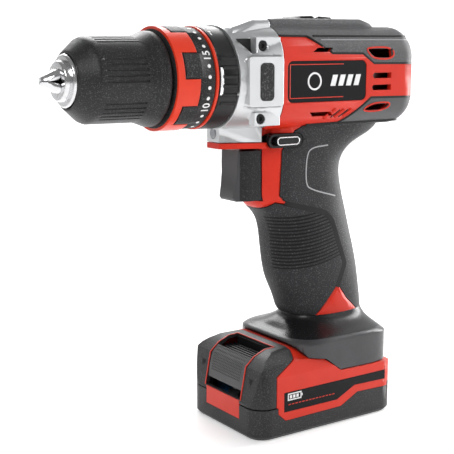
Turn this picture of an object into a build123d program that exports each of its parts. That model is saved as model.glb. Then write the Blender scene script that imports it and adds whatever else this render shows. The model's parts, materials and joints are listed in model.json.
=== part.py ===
from build123d import *
import math
import os

# ---------------------------------------------------------------------------
# Cordless drill.  Millimetres, chuck towards -X, +Z up, left side at -Y.
# The origin is the centre of the battery's flat base.
# ---------------------------------------------------------------------------

# Overall sizes
AXIS_Z = 171.3            # height of the spindle axis above the battery's base
HEAD_HALF_W = 25.2        # half-width of the motor housing
HEAD_UP = 23.6            # housing's top above the axis
HEAD_DOWN = 24.3          # housing's underside below the axis
HEAD_REAR_X = 56.5        # rear face of the housing
HEAD_CORNER_R = 15.0      # corner radius of the housing's section
HEAD_REAR_R = 11.0        # rounding of the rear edge
WALL = 2.8                # wall of the mouldings, with their soft skin
SKIN = 1.3                # thickness of the soft skin on the red shell
SEAM = 0.45               # width of the groove between two colours
FIT = 0.3                 # gap between pieces of different bodies
RUN = 0.05                # radial clearance of a running fit

# Gear case and the two collars on its neck
CASE_JOINT_X = -30.0      # joint between the gear case and the red shell
CASE_FRONT_X = -53.0      # front rim of the gear case
CASE_FRONT_R = 24.0
CASE_WALL = 3.0
DRUM_R = 19.6             # drum of the gear case that carries the mode ring
DRUM_FRONT_X = -65.4
NECK_R = 12.2             # neck that carries the clutch
NECK_FRONT_X = -85.4
MODE_RING_R = 23.5
MODE_RING_LENGTH = 10.2
ACCENT_R = 23.4
ACCENT_LENGTH = 1.2
COLLAR_R = 22.9
COLLAR_LENGTH = 19.6
BAND_R = 23.3
BAND_TABS = 6

# Chuck
CHUCK_REAR_X = -86.4
SLEEVE_R = 18.8
SLEEVE_SKIRT_R = 21.2
SLEEVE_FRONT_X = -127.0
SLEEVE_CONE_END_X = -119.7
SLEEVE_SKIRT_X = -95.5
SLEEVE_BORE_R = 17.3
SLEEVE_RIB_COUNT = 48
CHUCK_BODY_R = 17.0
CHUCK_NOSE_R = 11.5
CHUCK_NOSE_X = -128.6
CHUCK_TIP_RING_X = -131.2
CHUCK_TIP_RING_R = 8.8
CHUCK_BORE_R = 5.2
JAW_R = 2.8
JAW_ANGLE = 15.0
JAW_LENGTH = 30.0
JAW_TIP_X = -138.7
JAW_TIP_OFFSET = 0.8      # distance of a closed jaw's axis from the spindle axis at its tip
NUT_FRONT_X = -104.0
NUT_LENGTH = 6.0

# Spindle and gear train
SPINDLE_R = 5.0
BEARING_R = 9.5
BEARING_WIDTH = 5.0
GEAR_MODULE = 0.5
SUN_TEETH = 12
PLANET_TEETH = 18
RING_TEETH = SUN_TEETH + 2 * PLANET_TEETH
PRESSURE_ANGLE = 25.0
BACKLASH = 0.09           # thinning of each flank of a tooth
PLANETS = 3
GEAR_WIDTH = 5.0
PIN_R = 1.25
RING_GEAR_R = 15.0
PLATE_R = 10.2
PLATE_WIDTH = 2.2
SHIFT_TRAVEL = 4.6        # travel of the speed selector and of the ring gear it moves

# Motor
MOTOR_FRONT_X = -5.0
MOTOR_LENGTH = 52.0
MOTOR_R = 18.0
CAN_WALL = 1.2
MAGNET_INNER_R = 13.6
ARMATURE_R = 13.1
SHAFT_R = 1.6
COMMUTATOR_R = 5.0

# Handle, foot and battery
TRIGGER_TRAVEL = 6.5
GRIP_HALF_W = 15.0        # half-width of the handle behind the trigger
FOOT_HALF_W = 29.3
FOOT_FRONT_X = -20.5
FOOT_REAR_X = 40.3
PACK_LENGTH = 88.0
PACK_HALF_W = 29.5
PACK_FRONT_X = -46.8
PACK_CORNER_R = 9.0
PACK_SEAM_Z = 15.6        # joint between the tub and the upper shell
PACK_DECK_Z = 25.8        # flat deck under the foot
PACK_CAP_Z = 41.0         # top of the front cap
PACK_WALL = 1.8
CELL_R = 9.1
CELL_LENGTH = 65.0
CELL_FRONT_X = -31.6
PACK_GAP = 0.5            # gap between the battery and the drill
RAIL_HALF_W = 15.0
RAIL_HEIGHT = 7.0

SPINDLE_AXIS = Axis((0, 0, AXIS_Z), (1, 0, 0))
parts = {}


# ---------------------------------------------------------------------------
# Helpers
# ---------------------------------------------------------------------------

def keep(name, shape):
    """Record one node; its solids are gathered into one shape for export."""
    solids = list(shape.solids()) if hasattr(shape, "solids") else [s for p in shape for s in p.solids()]
    parts[name] = solids[0] if len(solids) == 1 else Compound(children=solids)


def side_prism(points, y0, y1):
    """Prism over an outline in the side view, from y0 to y1."""
    outline = Wire.make_polygon([(x, y0, z) for x, z in points], close=True)
    return extrude(Face(outline), amount=y1 - y0, dir=(0, 1, 0))


def both_sides(points, y0, y1):
    """The same prism on the left and on the right."""
    return side_prism(points, -y1, -y0) + side_prism(points, y0, y1)


def cross_section(x, z=AXIS_Z):
    """Plane across the spindle axis: local x is +Y, local y is +Z."""
    return Plane(origin=(x, 0, z), x_dir=(0, 1, 0), z_dir=(1, 0, 0))


def box(x0, x1, y0, y1, z0, z1):
    return Pos((x0 + x1) / 2, (y0 + y1) / 2, (z0 + z1) / 2) * Box(x1 - x0, y1 - y0, z1 - z0)


def x_cylinder(r, x0, x1, y=0.0, z=AXIS_Z):
    place = Location((x0, y, z), (0, 90, 0))
    return place * Cylinder(r, x1 - x0, align=(Align.CENTER, Align.CENTER, Align.MIN))


def x_ring(outer, inner, x0, x1, y=0.0, z=AXIS_Z):
    return x_cylinder(outer, x0, x1, y, z) - x_cylinder(inner, x0 - 1, x1 + 1, y, z)


def y_cylinder(r, y0, y1, x, z):
    place = Location((x, y0, z), (-90, 0, 0))
    return place * Cylinder(r, y1 - y0, align=(Align.CENTER, Align.CENTER, Align.MIN))


def z_cylinder(r, z0, z1, x, y):
    return Pos(x, y, z0) * Cylinder(r, z1 - z0, align=(Align.CENTER, Align.CENTER, Align.MIN))


def turned(profile):
    """Solid of revolution about the spindle axis from (x, r) points."""
    outline = Wire.make_polygon([(x, 0, AXIS_Z + r) for x, r in profile], close=True)
    return revolve(Face(outline), axis=SPINDLE_AXIS, revolution_arc=360)


def around(shape, angle):
    """The shape turned about the spindle axis."""
    return shape.rotate(SPINDLE_AXIS, angle)


def oval(z, x0, x1, half_w, power, inset=0.0, count=20):
    """Closed super-ellipse at height z, pulled in by inset."""
    a = (x1 - x0) / 2 - inset
    b = half_w - inset
    cx = (x0 + x1) / 2
    points = []
    for i in range(count):
        t = 2 * math.pi * i / count
        c, s = math.cos(t), math.sin(t)
        points.append((cx + a * math.copysign(abs(c) ** (2 / power), c),
                       b * math.copysign(abs(s) ** (2 / power), s), z))
    return Wire([Edge.make_spline([Vector(*p) for p in points], periodic=True)])


def grown(points, amount):
    """Outline in the side view moved outwards by amount, with mitred corners."""
    n = len(points)
    area = sum(points[i][0] * points[(i + 1) % n][1] - points[(i + 1) % n][0] * points[i][1]
               for i in range(n))
    turn = 1 if area > 0 else -1
    moved = []
    for i in range(n):
        (ax, az), (bx, bz), (cx, cz) = points[i - 1], points[i], points[(i + 1) % n]
        la, lb = math.hypot(bx - ax, bz - az), math.hypot(cx - bx, cz - bz)
        n1 = ((bz - az) / la * turn, -(bx - ax) / la * turn)
        n2 = ((cz - bz) / lb * turn, -(cx - bx) / lb * turn)
        k = 1 + n1[0] * n2[0] + n1[1] * n2[1]
        moved.append((bx + amount * (n1[0] + n2[0]) / k, bz + amount * (n1[1] + n2[1]) / k))
    return moved


# ---------------------------------------------------------------------------
# Outer form of the drill: head, handle and foot
# ---------------------------------------------------------------------------

HUMP_HALF_W = 14.5
HUMP_TOP = 27.2           # top of the selector's hump above the axis
CHIN_Z = 141.4            # underside of the silver chin
CHIN_FRONT_X = -52.0
LIP_Z = 138.3             # underside of the red lip over the trigger
SPINE_FRONT_X = -32.5     # front of the housing behind the trigger
HANDLE_TOP_Z = 154.0
NECK_Z = 52.5             # joint between the handle and the foot

# height, front, back, half-width, squareness
LOWER_HANDLE = [
    (NECK_Z, -8.5, 36.6, GRIP_HALF_W + 0.5, 2.4),
    (60.0, -12.6, 35.7, GRIP_HALF_W + 1.0, 2.4),
    (68.0, -16.2, 34.3, GRIP_HALF_W + 1.6, 2.4),
    (78.0, -19.3, 32.2, GRIP_HALF_W + 2.0, 2.4),
    (88.0, -20.7, 29.4, GRIP_HALF_W + 2.0, 2.4),
    (98.0, -22.4, 26.6, GRIP_HALF_W + 1.6, 2.4),
    (105.0, -26.0, 24.8, GRIP_HALF_W + 0.8, 2.5),
    (109.5, -30.5, 23.4, GRIP_HALF_W + 0.2, 2.7),
    (114.0, SPINE_FRONT_X, 21.8, GRIP_HALF_W, 2.9),
    (122.0, SPINE_FRONT_X, 19.9, GRIP_HALF_W, 3.0),
    (130.0, SPINE_FRONT_X, 20.4, GRIP_HALF_W + 0.3, 3.0),
    (136.0, SPINE_FRONT_X, 25.0, GRIP_HALF_W + 0.6, 3.0),
    (141.0, SPINE_FRONT_X, 34.5, GRIP_HALF_W + 1.0, 3.0),
    (146.0, SPINE_FRONT_X, 43.5, GRIP_HALF_W + 1.5, 3.0),
    (HANDLE_TOP_Z, SPINE_FRONT_X, 47.0, GRIP_HALF_W + 2.0, 3.0),
]

FOOT_SKIRT_Z = 42.4       # straight sides of the foot end here
FOOT_TOP = [
    (FOOT_SKIRT_Z, FOOT_FRONT_X, FOOT_REAR_X, FOOT_HALF_W, 5.0),
    (44.0, FOOT_FRONT_X + 0.8, FOOT_REAR_X - 1.2, FOOT_HALF_W - 1.0, 4.2),
    (45.6, FOOT_FRONT_X + 4.0, FOOT_REAR_X - 2.2, FOOT_HALF_W - 4.6, 3.8),
    (47.4, -14.0, FOOT_REAR_X - 2.8, 20.5, 3.2),
    (49.6, -10.8, 37.2, 17.2, 2.7),
    (NECK_Z, -8.5, 36.6, GRIP_HALF_W + 0.5, 2.4),
]

FOOT_SIDE = [(FOOT_FRONT_X, 42.8), (-14.3, 36.4), (-4.8, 34.7), (4.3, 27.9), (FOOT_REAR_X, 27.4)]


def head(inset):
    """Motor housing and gear case as one smooth body."""
    low, high = AXIS_Z - HEAD_DOWN + inset, AXIS_Z + HEAD_UP - inset
    width = 2 * (HEAD_HALF_W - inset)
    outline = RectangleRounded(width, high - low, HEAD_CORNER_R - inset)
    body = cross_section(CASE_JOINT_X, (low + high) / 2) * outline
    barrel = extrude(body.face(), amount=HEAD_REAR_X - inset - CASE_JOINT_X, dir=(1, 0, 0))
    rear = barrel.edges().filter_by(lambda e: e.center().X > HEAD_REAR_X - inset - 0.01)
    barrel = fillet(rear, HEAD_REAR_R - inset)
    r = CASE_FRONT_R - inset
    front = cross_section(CASE_FRONT_X, AXIS_Z) * RectangleRounded(2 * r, 2 * r, r - 0.4)
    nose = loft([front.face(), body.face()])
    return barrel + nose


def hump(inset):
    """Raised ridge on the top that carries the speed selector."""
    top = AXIS_Z + HUMP_TOP - inset
    low = AXIS_Z + HEAD_UP - 6
    w = HUMP_HALF_W - inset
    ridge = side_prism([(CASE_FRONT_X + 2.0, low), (CASE_FRONT_X + 3.0, top - 4.4),
                        (CASE_FRONT_X + 15, top - 0.6),
                        (-20.0, top), (27.0, top), (33.0, top - 1.8), (37.5, top - 5.5), (38.5, low)], -w, w)
    high_edges = ridge.edges().filter_by(lambda e: e.center().Z > top - 5)
    long_edges = high_edges.filter_by(lambda e: abs(abs(e.center().Y) - w) < 0.01)
    return fillet(long_edges, 3.4 - inset)


def chin(inset, z0, z1):
    """Nose under the gear case, seen from above a blunt wedge."""
    x0 = CHIN_FRONT_X + inset
    outline = [(x0, -5.0 + inset), (x0 + 2.5, -6.6 + inset), (SPINE_FRONT_X, -14.0 + inset),
               (-20.0, -15.0 + inset),
               (-20.0, 15.0 - inset), (SPINE_FRONT_X, 14.0 - inset), (x0 + 2.5, 6.6 - inset),
               (x0, 5.0 - inset)]
    face = Face(Wire.make_polygon([(x, y, z0) for x, y in outline], close=True))
    block = extrude(face, amount=z1 - z0, dir=(0, 0, 1))
    return block


def handle(inset):
    wires = [oval(z, x0, x1, w, power, inset) for z, x0, x1, w, power in LOWER_HANDLE]
    return Solid.make_loft(wires, ruled=False)


def foot_form(inset):
    wires = [oval(z, x0, x1, w, power, inset, 28) for z, x0, x1, w, power in FOOT_TOP]
    skirt = extrude(Face(wires[0]), amount=FOOT_SKIRT_Z - PACK_DECK_Z, dir=(0, 0, -1))
    return skirt + Solid.make_loft(wires, ruled=False)


# ---------------------------------------------------------------------------
# Outlines of the coloured zones in the side view
# ---------------------------------------------------------------------------

FAR = 70.0                # reach of a cutter beyond the drill
CASE_LOW_Z = 149.4        # the gear case's edge steps forward below this height
CHIN_REAR_X = -33.6

TOP_ZONE = [(CASE_JOINT_X + SEAM, AXIS_Z + 34), (CASE_JOINT_X + SEAM, AXIS_Z + 19.2), (-14.1, AXIS_Z + 19.0),
            (-0.7, AXIS_Z + 11.2), (18.1, AXIS_Z + 11.0), (25.3, AXIS_Z + 6.2), (FAR, AXIS_Z + 5.9),
            (FAR, AXIS_Z + 34)]
STRAP_ZONE = [(FAR, AXIS_Z - 11.0), (23.9, AXIS_Z - 10.6), (8.5, 148.6), (-11.0, 148.2), (-15.5, 146.0),
              (-21.6, 137.4), (-22.3, 115.0), (-19.0, 111.6), (4.4, 105.3), (8.7, 101.4), (14.6, 86.1),
              (18.0, 77.8), (13.4, 66.4), (19.0, 59.4), (28.0, 52.0), (FAR, 46.0)]
GRIP_ZONE = [(-FAR, 108.2), (-29.5, 108.2), (-24.5, 111.6), (-21.0, 110.9), (2.8, 104.5), (7.5, 100.2),
             (12.9, 86.0), (16.2, 77.9), (11.0, 66.0), (0.5, NECK_Z), (-FAR, NECK_Z)]
CASE_ZONE = [(-FAR, CHIN_Z), (CHIN_REAR_X, CHIN_Z), (CHIN_REAR_X, CASE_LOW_Z), (CASE_JOINT_X, CASE_LOW_Z),
             (CASE_JOINT_X, AXIS_Z + 40), (-FAR, AXIS_Z + 40)]

VENTS = [
    [(25.6, AXIS_Z - 1.2), (36.7, AXIS_Z - 1.2), (36.7, AXIS_Z + 1.5), (25.6, AXIS_Z + 1.5),
     (24.4, AXIS_Z + 0.2)],
    [(25.2, AXIS_Z - 7.0), (36.7, AXIS_Z - 7.0), (36.7, AXIS_Z - 4.3), (25.2, AXIS_Z - 4.3),
     (24.0, AXIS_Z - 5.6)],
    [(25.8, AXIS_Z + 8.7), (37.6, AXIS_Z + 8.7), (37.6, AXIS_Z + 13.0), (22.4, AXIS_Z + 13.0),
     (21.8, AXIS_Z + 12.0)],
    [(20.6, AXIS_Z - 16.6), (34.0, AXIS_Z - 16.6), (36.8, AXIS_Z - 13.6), (25.0, AXIS_Z - 13.6)],
    [(-12.5, AXIS_Z + 11.6), (-2.0, AXIS_Z + 11.6), (0.0, AXIS_Z + 13.6), (-9.5, AXIS_Z + 13.6)],
    [(-10.5, AXIS_Z - 18.4), (2.0, AXIS_Z - 18.4), (0.0, AXIS_Z - 16.4), (-13.0, AXIS_Z - 16.4)],
]

SELECTOR = (-8.4, 14.6, 8.2)        # x0, x1 and half-width of the sliding knob at rest
SELECTOR_POCKET = (-14.0, 18.6, 9.4)
POCKET_Z = AXIS_Z + 24.4
STEM_OFFSET = 4.0         # the knob's stem starts this far behind its front end
STEM_LENGTH = 5.0
STEM_HALF_W = 2.4
BADGE = (-27.4, 20.4, AXIS_Z - 11.4, AXIS_Z + 7.6)      # x0, x1, z0, z1 of the side plate
BADGE_DEPTH = 0.9
BADGE_R = 3.0
BUTTON_SLOT = (-31.0, -10.5, 138.0, 145.0)              # x0, x1, z0, z1 of the direction button's slot
TRIGGER_SLOT = (-9.3, 9.3, 112.4, 137.4)                # y0, y1, z0, z1 of the mouth behind the trigger

# x, z and half-width of the screw bosses across the housing
BOSSES = [(50.0, AXIS_Z + 13.0, 19.0), (50.0, AXIS_Z - 14.0, 17.5), (16.0, 141.0, 12.3),
          (13.0, 104.0, 11.5), (-11.0, 98.0, 11.8), (22.0, 63.0, 12.3)]
BOSS_R = 3.0
SCREW_R = 1.4
SCREW_HEAD_R = 2.7
SCREW_HEAD_LENGTH = 2.4


def skinned(zone, shell, under):
    """Lay a soft skin into the shell over a zone; returns the cut shell and the skin."""
    cutter = side_prism(grown(zone, SEAM / 2), -FAR, FAR) - under
    skin = shell & (side_prism(grown(zone, -SEAM / 2), -FAR, FAR) - under)
    return shell - cutter, skin


def halves(shape):
    left = shape & box(-200, 200, -FAR, 0, 0, 260)
    right = shape & box(-200, 200, 0, FAR, 0, 260)
    return left, right


def make_housing():
    """Red clamshell, its soft skins and the badges; returns the screws that hold it."""
    outer = head(0) + hump(0) + handle(0)
    inner = head(WALL) + handle(WALL)
    under = head(SKIN) + hump(SKIN) + handle(SKIN)
    shell = outer - inner
    shell -= side_prism(grown(CASE_ZONE, SEAM), -FAR, FAR)
    shell += chin(0, LIP_Z, CHIN_Z - SEAM) - handle(WALL)
    y0, y1, z0, z1 = TRIGGER_SLOT
    shell -= box(SPINE_FRONT_X - 30, SPINE_FRONT_X + 12, y0, y1, z0, z1)
    for vent in VENTS:
        shell -= both_sides(vent, 16.0, FAR)
    x0, x1, w = SELECTOR_POCKET
    shell -= box(x0, x1, -w, w, POCKET_Z, AXIS_Z + 60)
    x0 = SELECTOR[0] + STEM_OFFSET
    shell -= box(x0 - SHIFT_TRAVEL - FIT, x0 + STEM_LENGTH + FIT, -STEM_HALF_W - FIT, STEM_HALF_W + FIT,
                 AXIS_Z + HEAD_UP - WALL - 1, POCKET_Z + 1)
    x0, x1, z0, z1 = BUTTON_SLOT
    slot_r = (z1 - z0) / 2
    slot = side_prism([(x0 + slot_r, z0), (x1 - slot_r, z0), (x1 - slot_r, z1), (x0 + slot_r, z1)], -FAR, FAR)
    for x in (x0 + slot_r, x1 - slot_r):
        slot += y_cylinder(slot_r, -FAR, FAR, x, (z0 + z1) / 2)
    shell -= slot
    x0, x1, z0, z1 = BADGE
    plate = side_prism([(x0, z0), (x1, z0), (x1, z1), (x0, z1)], HEAD_HALF_W - BADGE_DEPTH,
                       HEAD_HALF_W - 0.25)
    corners = plate.edges().filter_by(Axis.Y)
    plate = fillet(corners, BADGE_R)
    plate_left = plate.mirror(Plane.XZ)
    pocket = side_prism(grown([(x0, z0), (x1, z0), (x1, z1), (x0, z1)], 0.1), HEAD_HALF_W - BADGE_DEPTH, FAR)
    shell -= fillet(pocket.edges().filter_by(Axis.Y), BADGE_R)
    shell -= fillet(pocket.mirror(Plane.XZ).edges().filter_by(Axis.Y), BADGE_R)
    keep("badges", [plate_left, plate])
    skins = {}
    for name, zone in (("top_cover", TOP_ZONE), ("rear_strap", STRAP_ZONE), ("front_grip", GRIP_ZONE)):
        shell, skins[name] = skinned(zone, shell, under)
    for x, z, w in BOSSES:
        shell += y_cylinder(BOSS_R, -w, w, x, z)
        shell -= y_cylinder(SCREW_R + RUN, -w + 2, 0, x, z)
        shell -= y_cylinder(SCREW_R + 0.2, -1, FAR, x, z)
        shell -= y_cylinder(SCREW_HEAD_R + 0.2, w - 4, FAR, x, z)
    left, right = halves(shell)
    keep("housing_left", left)
    keep("housing_right", right)
    for name, skin in skins.items():
        for x, z, w in BOSSES:
            skin -= y_cylinder(SCREW_HEAD_R + 0.2, w - 4, FAR, x, z)
        left, right = halves(skin)
        keep(name + "_left", left)
        keep(name + "_right", right)
    screws = []
    for x, z, w in BOSSES:
        head_y = w - 4 + SCREW_HEAD_LENGTH
        screw = y_cylinder(SCREW_HEAD_R, w - 4, head_y, x, z) + y_cylinder(SCREW_R, -w + 4, w - 4, x, z)
        screw -= y_cylinder(1.2, head_y - 1.4, head_y + 1, x, z)
        screws.append(screw)
    return screws


# ---------------------------------------------------------------------------
# Gear case with its neck, side pads, case screws and work light
# ---------------------------------------------------------------------------

GEAR_BORE_R = RING_GEAR_R + RUN
FORK_X = -10.6            # front of the fork's finger
FORK_HALF_W = 3.0
TUBE_R = 17.6
TUBE_REAR_X = MOTOR_FRONT_X - 0.3
WEB_REAR_X = -60.4
PAD = (-43.4, -35.6, AXIS_Z - 10.0, AXIS_Z + 7.0)       # x0, x1, z0, z1 of the side pad
PAD_FRAME = (-49.4, -32.2, AXIS_Z - 12.6, AXIS_Z + 9.8)
PAD_FACE_Y = HEAD_HALF_W + 0.6
EARS = [(-43.6, AXIS_Z + 11.2, AXIS_Z + 18.4), (-44.4, AXIS_Z - 21.6, AXIS_Z - 15.4)]
EAR_Y = 22.6
CASE_SCREWS = [(-39.9, AXIS_Z + 14.6), (-40.9, AXIS_Z - 18.3)]
CASE_SCREW_R = 2.3
CLUTCH_PIN_R = 1.2
CLUTCH_PIN_PCR = 13.4
CLUTCH_PINS = 6
LAMP_Z = (CHIN_Z + CASE_LOW_Z) / 2
LAMP_R = 2.4


def make_gear_case():
    """Gear case with its neck, pads and lamp; returns its screws."""
    zone = side_prism(CASE_ZONE, -FAR, FAR)
    case = (head(0) + hump(0)) & zone
    case += chin(0, CHIN_Z, CASE_LOW_Z + 4) & zone
    hollow = head(CASE_WALL) & box(CASE_FRONT_X + 3, 0, -FAR, FAR, CASE_LOW_Z, 260)
    case -= hollow
    x0, x1, z0, z1 = PAD_FRAME
    for side in (-1, 1):
        frame = side_prism([(x0, z0), (x1 + 2.0, z0), (x1 + 2.0, z1), (x0, z1)], side * 18.0,
                           side * PAD_FACE_Y)
        case += fillet(frame.edges().filter_by(Axis.Y), 1.4)
    for ex, ez0, ez1 in EARS:
        case += both_sides([(ex, ez0), (CASE_JOINT_X, ez0), (CASE_JOINT_X, ez1), (ex, ez1)], EAR_Y - 4.2,
                           EAR_Y)
    case -= x_cylinder(DRUM_R - 0.5, CASE_FRONT_X - 3, CASE_FRONT_X + 4)
    x0, x1, z0, z1 = PAD
    for side in (-1, 1):
        pocket = side_prism([(x0, z0), (x1, z0), (x1, z1), (x0, z1)], side * (PAD_FACE_Y - 1.6), side * FAR)
        case -= fillet(pocket.edges().filter_by(Axis.Y), 2.2)
        corner = [(-52.0, AXIS_Z + 17.8), (-43.8, AXIS_Z + 18.0), (-43.8, AXIS_Z + 11.4),
                  (-45.6, AXIS_Z + 10.8)]
        case -= side_prism(corner, side * 18.6, side * FAR)
    for x, z in CASE_SCREWS:
        case -= y_cylinder(CASE_SCREW_R + 0.25, EAR_Y - 1.6, FAR, x, z)
        case -= y_cylinder(CASE_SCREW_R + 0.25, -FAR, -EAR_Y + 1.6, x, z)
        case -= y_cylinder(SCREW_R, EAR_Y - 5.0, EAR_Y, x, z)
        case -= y_cylinder(SCREW_R, -EAR_Y, -EAR_Y + 5.0, x, z)
    core = turned([(NECK_FRONT_X, BEARING_R + RUN), (NECK_FRONT_X, NECK_R), (DRUM_FRONT_X, NECK_R),
                   (DRUM_FRONT_X, DRUM_R), (CASE_FRONT_X + 0.5, DRUM_R),
                   (CASE_FRONT_X + 0.5, CASE_FRONT_R - 1.5),
                   (CASE_FRONT_X + 3, CASE_FRONT_R - 1.5), (CASE_FRONT_X + 3, TUBE_R), (TUBE_REAR_X, TUBE_R),
                   (TUBE_REAR_X, GEAR_BORE_R), (WEB_REAR_X, GEAR_BORE_R), (WEB_REAR_X, BEARING_R + RUN)])
    for i in range(CLUTCH_PINS):
        pin = x_cylinder(CLUTCH_PIN_R + 0.08, DRUM_FRONT_X - 1, WEB_REAR_X + 1, 0, AXIS_Z + CLUTCH_PIN_PCR)
        core -= around(pin, 360 / CLUTCH_PINS * i)
    fork_x0 = FORK_X - 1.2 - SHIFT_TRAVEL
    core -= box(fork_x0, FORK_X + 3.2, -FORK_HALF_W - 0.4, FORK_HALF_W + 0.4, AXIS_Z + 12, AXIS_Z + 20)
    case -= x_cylinder(LAMP_R + 0.2, CHIN_FRONT_X - 2, CHIN_FRONT_X + 5.2, 0, LAMP_Z)
    keep("gear_case", case + core)
    x0, x1, z0, z1 = PAD
    pads = []
    for side in (-1, 1):
        pad = side_prism(grown([(x0, z0), (x1, z0), (x1, z1), (x0, z1)], -0.15),
                         side * (PAD_FACE_Y - 1.6), side * (PAD_FACE_Y + 0.2))
        pads.append(fillet(pad.edges().filter_by(Axis.Y), 2.0))
    keep("side_pads", pads)
    screws = []
    for x, z in CASE_SCREWS:
        for side in (-1, 1):
            head_y, seat_y, tip_y = side * (EAR_Y - 0.3), side * (EAR_Y - 1.6), side * (EAR_Y - 4.8)
            screw = y_cylinder(CASE_SCREW_R, min(seat_y, head_y), max(seat_y, head_y), x, z)
            screw += y_cylinder(SCREW_R - 0.05, min(seat_y, tip_y), max(seat_y, tip_y), x, z)
            socket_y = side * (EAR_Y - 1.1)
            screw -= y_cylinder(1.1, min(socket_y, 2 * head_y), max(socket_y, 2 * head_y), x, z)
            screws.append(screw)
    lens = x_cylinder(LAMP_R, CHIN_FRONT_X - 0.4, CHIN_FRONT_X + 3.2, 0, LAMP_Z)
    lens = fillet(lens.edges().sort_by(Axis.X)[0], 0.6)
    keep("work_lamp", lens + x_cylinder(LAMP_R - 0.2, CHIN_FRONT_X + 3.2, CHIN_FRONT_X + 5.0, 0, LAMP_Z))
    return screws


# ---------------------------------------------------------------------------
# Collars on the neck: torque collar, accent ring, mode ring, clutch
# ---------------------------------------------------------------------------

MODE_REAR_X = CASE_FRONT_X - 0.5
MODE_FRONT_X = MODE_REAR_X - MODE_RING_LENGTH
ACCENT_REAR_X = MODE_FRONT_X - 0.3
ACCENT_FRONT_X = ACCENT_REAR_X - ACCENT_LENGTH
COLLAR_REAR_X = ACCENT_FRONT_X - 0.3
COLLAR_FRONT_X = COLLAR_REAR_X - COLLAR_LENGTH
COLLAR_WEB = 1.8
NUT_RING_X = -81.2        # front face of the clutch nut at rest
NUT_RING_LENGTH = 3.6
WASHER_X = -68.4
MODE_LUG_ANGLE = 92.0     # grip lug of the mode ring, on the left side
TAB_ANGLE = 30.0
TAB_PHASE = 44.0          # middle of the first tab, from the top towards the left side


def wedge(angle0, angle1, reach, x0, x1):
    """Sector about the spindle axis; 0 is up, positive turns towards the left side (-Y)."""
    steps = max(2, math.ceil(abs(angle1 - angle0) / 40) + 1)
    points = [(x0, 0, AXIS_Z)]
    for i in range(steps):
        a = math.radians(angle0 + (angle1 - angle0) * i / (steps - 1))
        points.append((x0, -reach * math.sin(a), AXIS_Z + reach * math.cos(a)))
    return extrude(Face(Wire.make_polygon(points, close=True)), amount=x1 - x0, dir=(1, 0, 0))


def make_collars():
    mode = turned([(MODE_FRONT_X, DRUM_R + RUN), (MODE_FRONT_X, MODE_RING_R - 0.5),
                   (MODE_FRONT_X + 0.5, MODE_RING_R),
                   (MODE_REAR_X - 0.5, MODE_RING_R), (MODE_REAR_X, MODE_RING_R - 0.5),
                   (MODE_REAR_X, DRUM_R + RUN)])
    rib = x_cylinder(0.9, MODE_FRONT_X + 1.6, MODE_REAR_X - 0.8, 0, AXIS_Z + MODE_RING_R - 0.3)
    for i in range(6):
        mode += around(rib, MODE_LUG_ANGLE - 25 + 10 * i)
    pointer = wedge(MODE_LUG_ANGLE - 16, MODE_LUG_ANGLE + 16, 40, MODE_FRONT_X + 0.6, MODE_FRONT_X + 1.5)
    pointer &= x_ring(MODE_RING_R + 1, MODE_RING_R - 0.4, MODE_FRONT_X, MODE_REAR_X)
    keep("mode_ring", mode - pointer)
    keep("accent_ring", x_ring(ACCENT_R, DRUM_R, ACCENT_FRONT_X, ACCENT_REAR_X))
    dial = turned([(COLLAR_FRONT_X, NECK_R + RUN), (COLLAR_FRONT_X, COLLAR_R - 1.0),
                   (COLLAR_FRONT_X + 1.0, COLLAR_R),
                   (COLLAR_REAR_X - 0.3, COLLAR_R), (COLLAR_REAR_X, COLLAR_R - 0.3),
                   (COLLAR_REAR_X, COLLAR_R - 2.9),
                   (COLLAR_FRONT_X + COLLAR_WEB, COLLAR_R - 2.9),
                   (COLLAR_FRONT_X + COLLAR_WEB, NECK_R + RUN)])
    band = x_ring(BAND_R, COLLAR_R - 1.2, COLLAR_FRONT_X + 0.2, COLLAR_FRONT_X + 3.6)
    tabs = x_ring(BAND_R, COLLAR_R - 1.2, COLLAR_FRONT_X + 3.0, COLLAR_FRONT_X + 11.5)
    spread = Part()
    for i in range(BAND_TABS):
        middle = 360 / BAND_TABS * i + TAB_PHASE
        spread += wedge(middle - TAB_ANGLE / 2, middle + TAB_ANGLE / 2, 40, COLLAR_FRONT_X,
                        COLLAR_FRONT_X + 12)
    band += tabs & spread
    dial -= band
    lugs = x_ring(BAND_R, COLLAR_R - 0.5, COLLAR_FRONT_X + 4.4, COLLAR_FRONT_X + 12.5)
    gaps = Part()
    for i in range(BAND_TABS):
        middle = 360 / BAND_TABS * (i + 0.5) + TAB_PHASE
        gaps += wedge(middle - TAB_ANGLE / 2 + 1.5, middle + TAB_ANGLE / 2 - 1.5, 40, COLLAR_FRONT_X,
                      COLLAR_FRONT_X + 13)
    dial += lugs & gaps
    keep("torque_collar", dial)
    keep("torque_collar_band", band)
    keep("clutch_nut", x_ring(COLLAR_R - 2.9 - FIT, NECK_R + RUN, NUT_RING_X, NUT_RING_X + NUT_RING_LENGTH))
    washer = x_ring(18.2, NECK_R + FIT, WASHER_X, WASHER_X + 1.6)
    for i in range(CLUTCH_PINS):
        pin = x_cylinder(CLUTCH_PIN_R, WASHER_X + 1.0, RING2_X - 0.1, 0, AXIS_Z + CLUTCH_PIN_PCR)
        washer += around(pin, 360 / CLUTCH_PINS * i)
    keep("clutch_washer", washer)
    start, end = NUT_RING_X + NUT_RING_LENGTH, WASHER_X
    spring = coil(15.6, 1.0, end - start - 0.2, 3)
    keep("clutch_spring", Location((start + 0.1, 0, AXIS_Z), (0, 90, 0)) * spring)


def coil(r, wire_r, length, turns):
    """Compression spring that stands on the origin along Z."""
    height = length - 2 * wire_r
    path = Edge.make_helix(pitch=height / turns, height=height, radius=r)
    ring = Plane(origin=path @ 0, z_dir=path % 0) * Circle(wire_r)
    return Pos(0, 0, wire_r) * sweep(ring, path=path)


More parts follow.
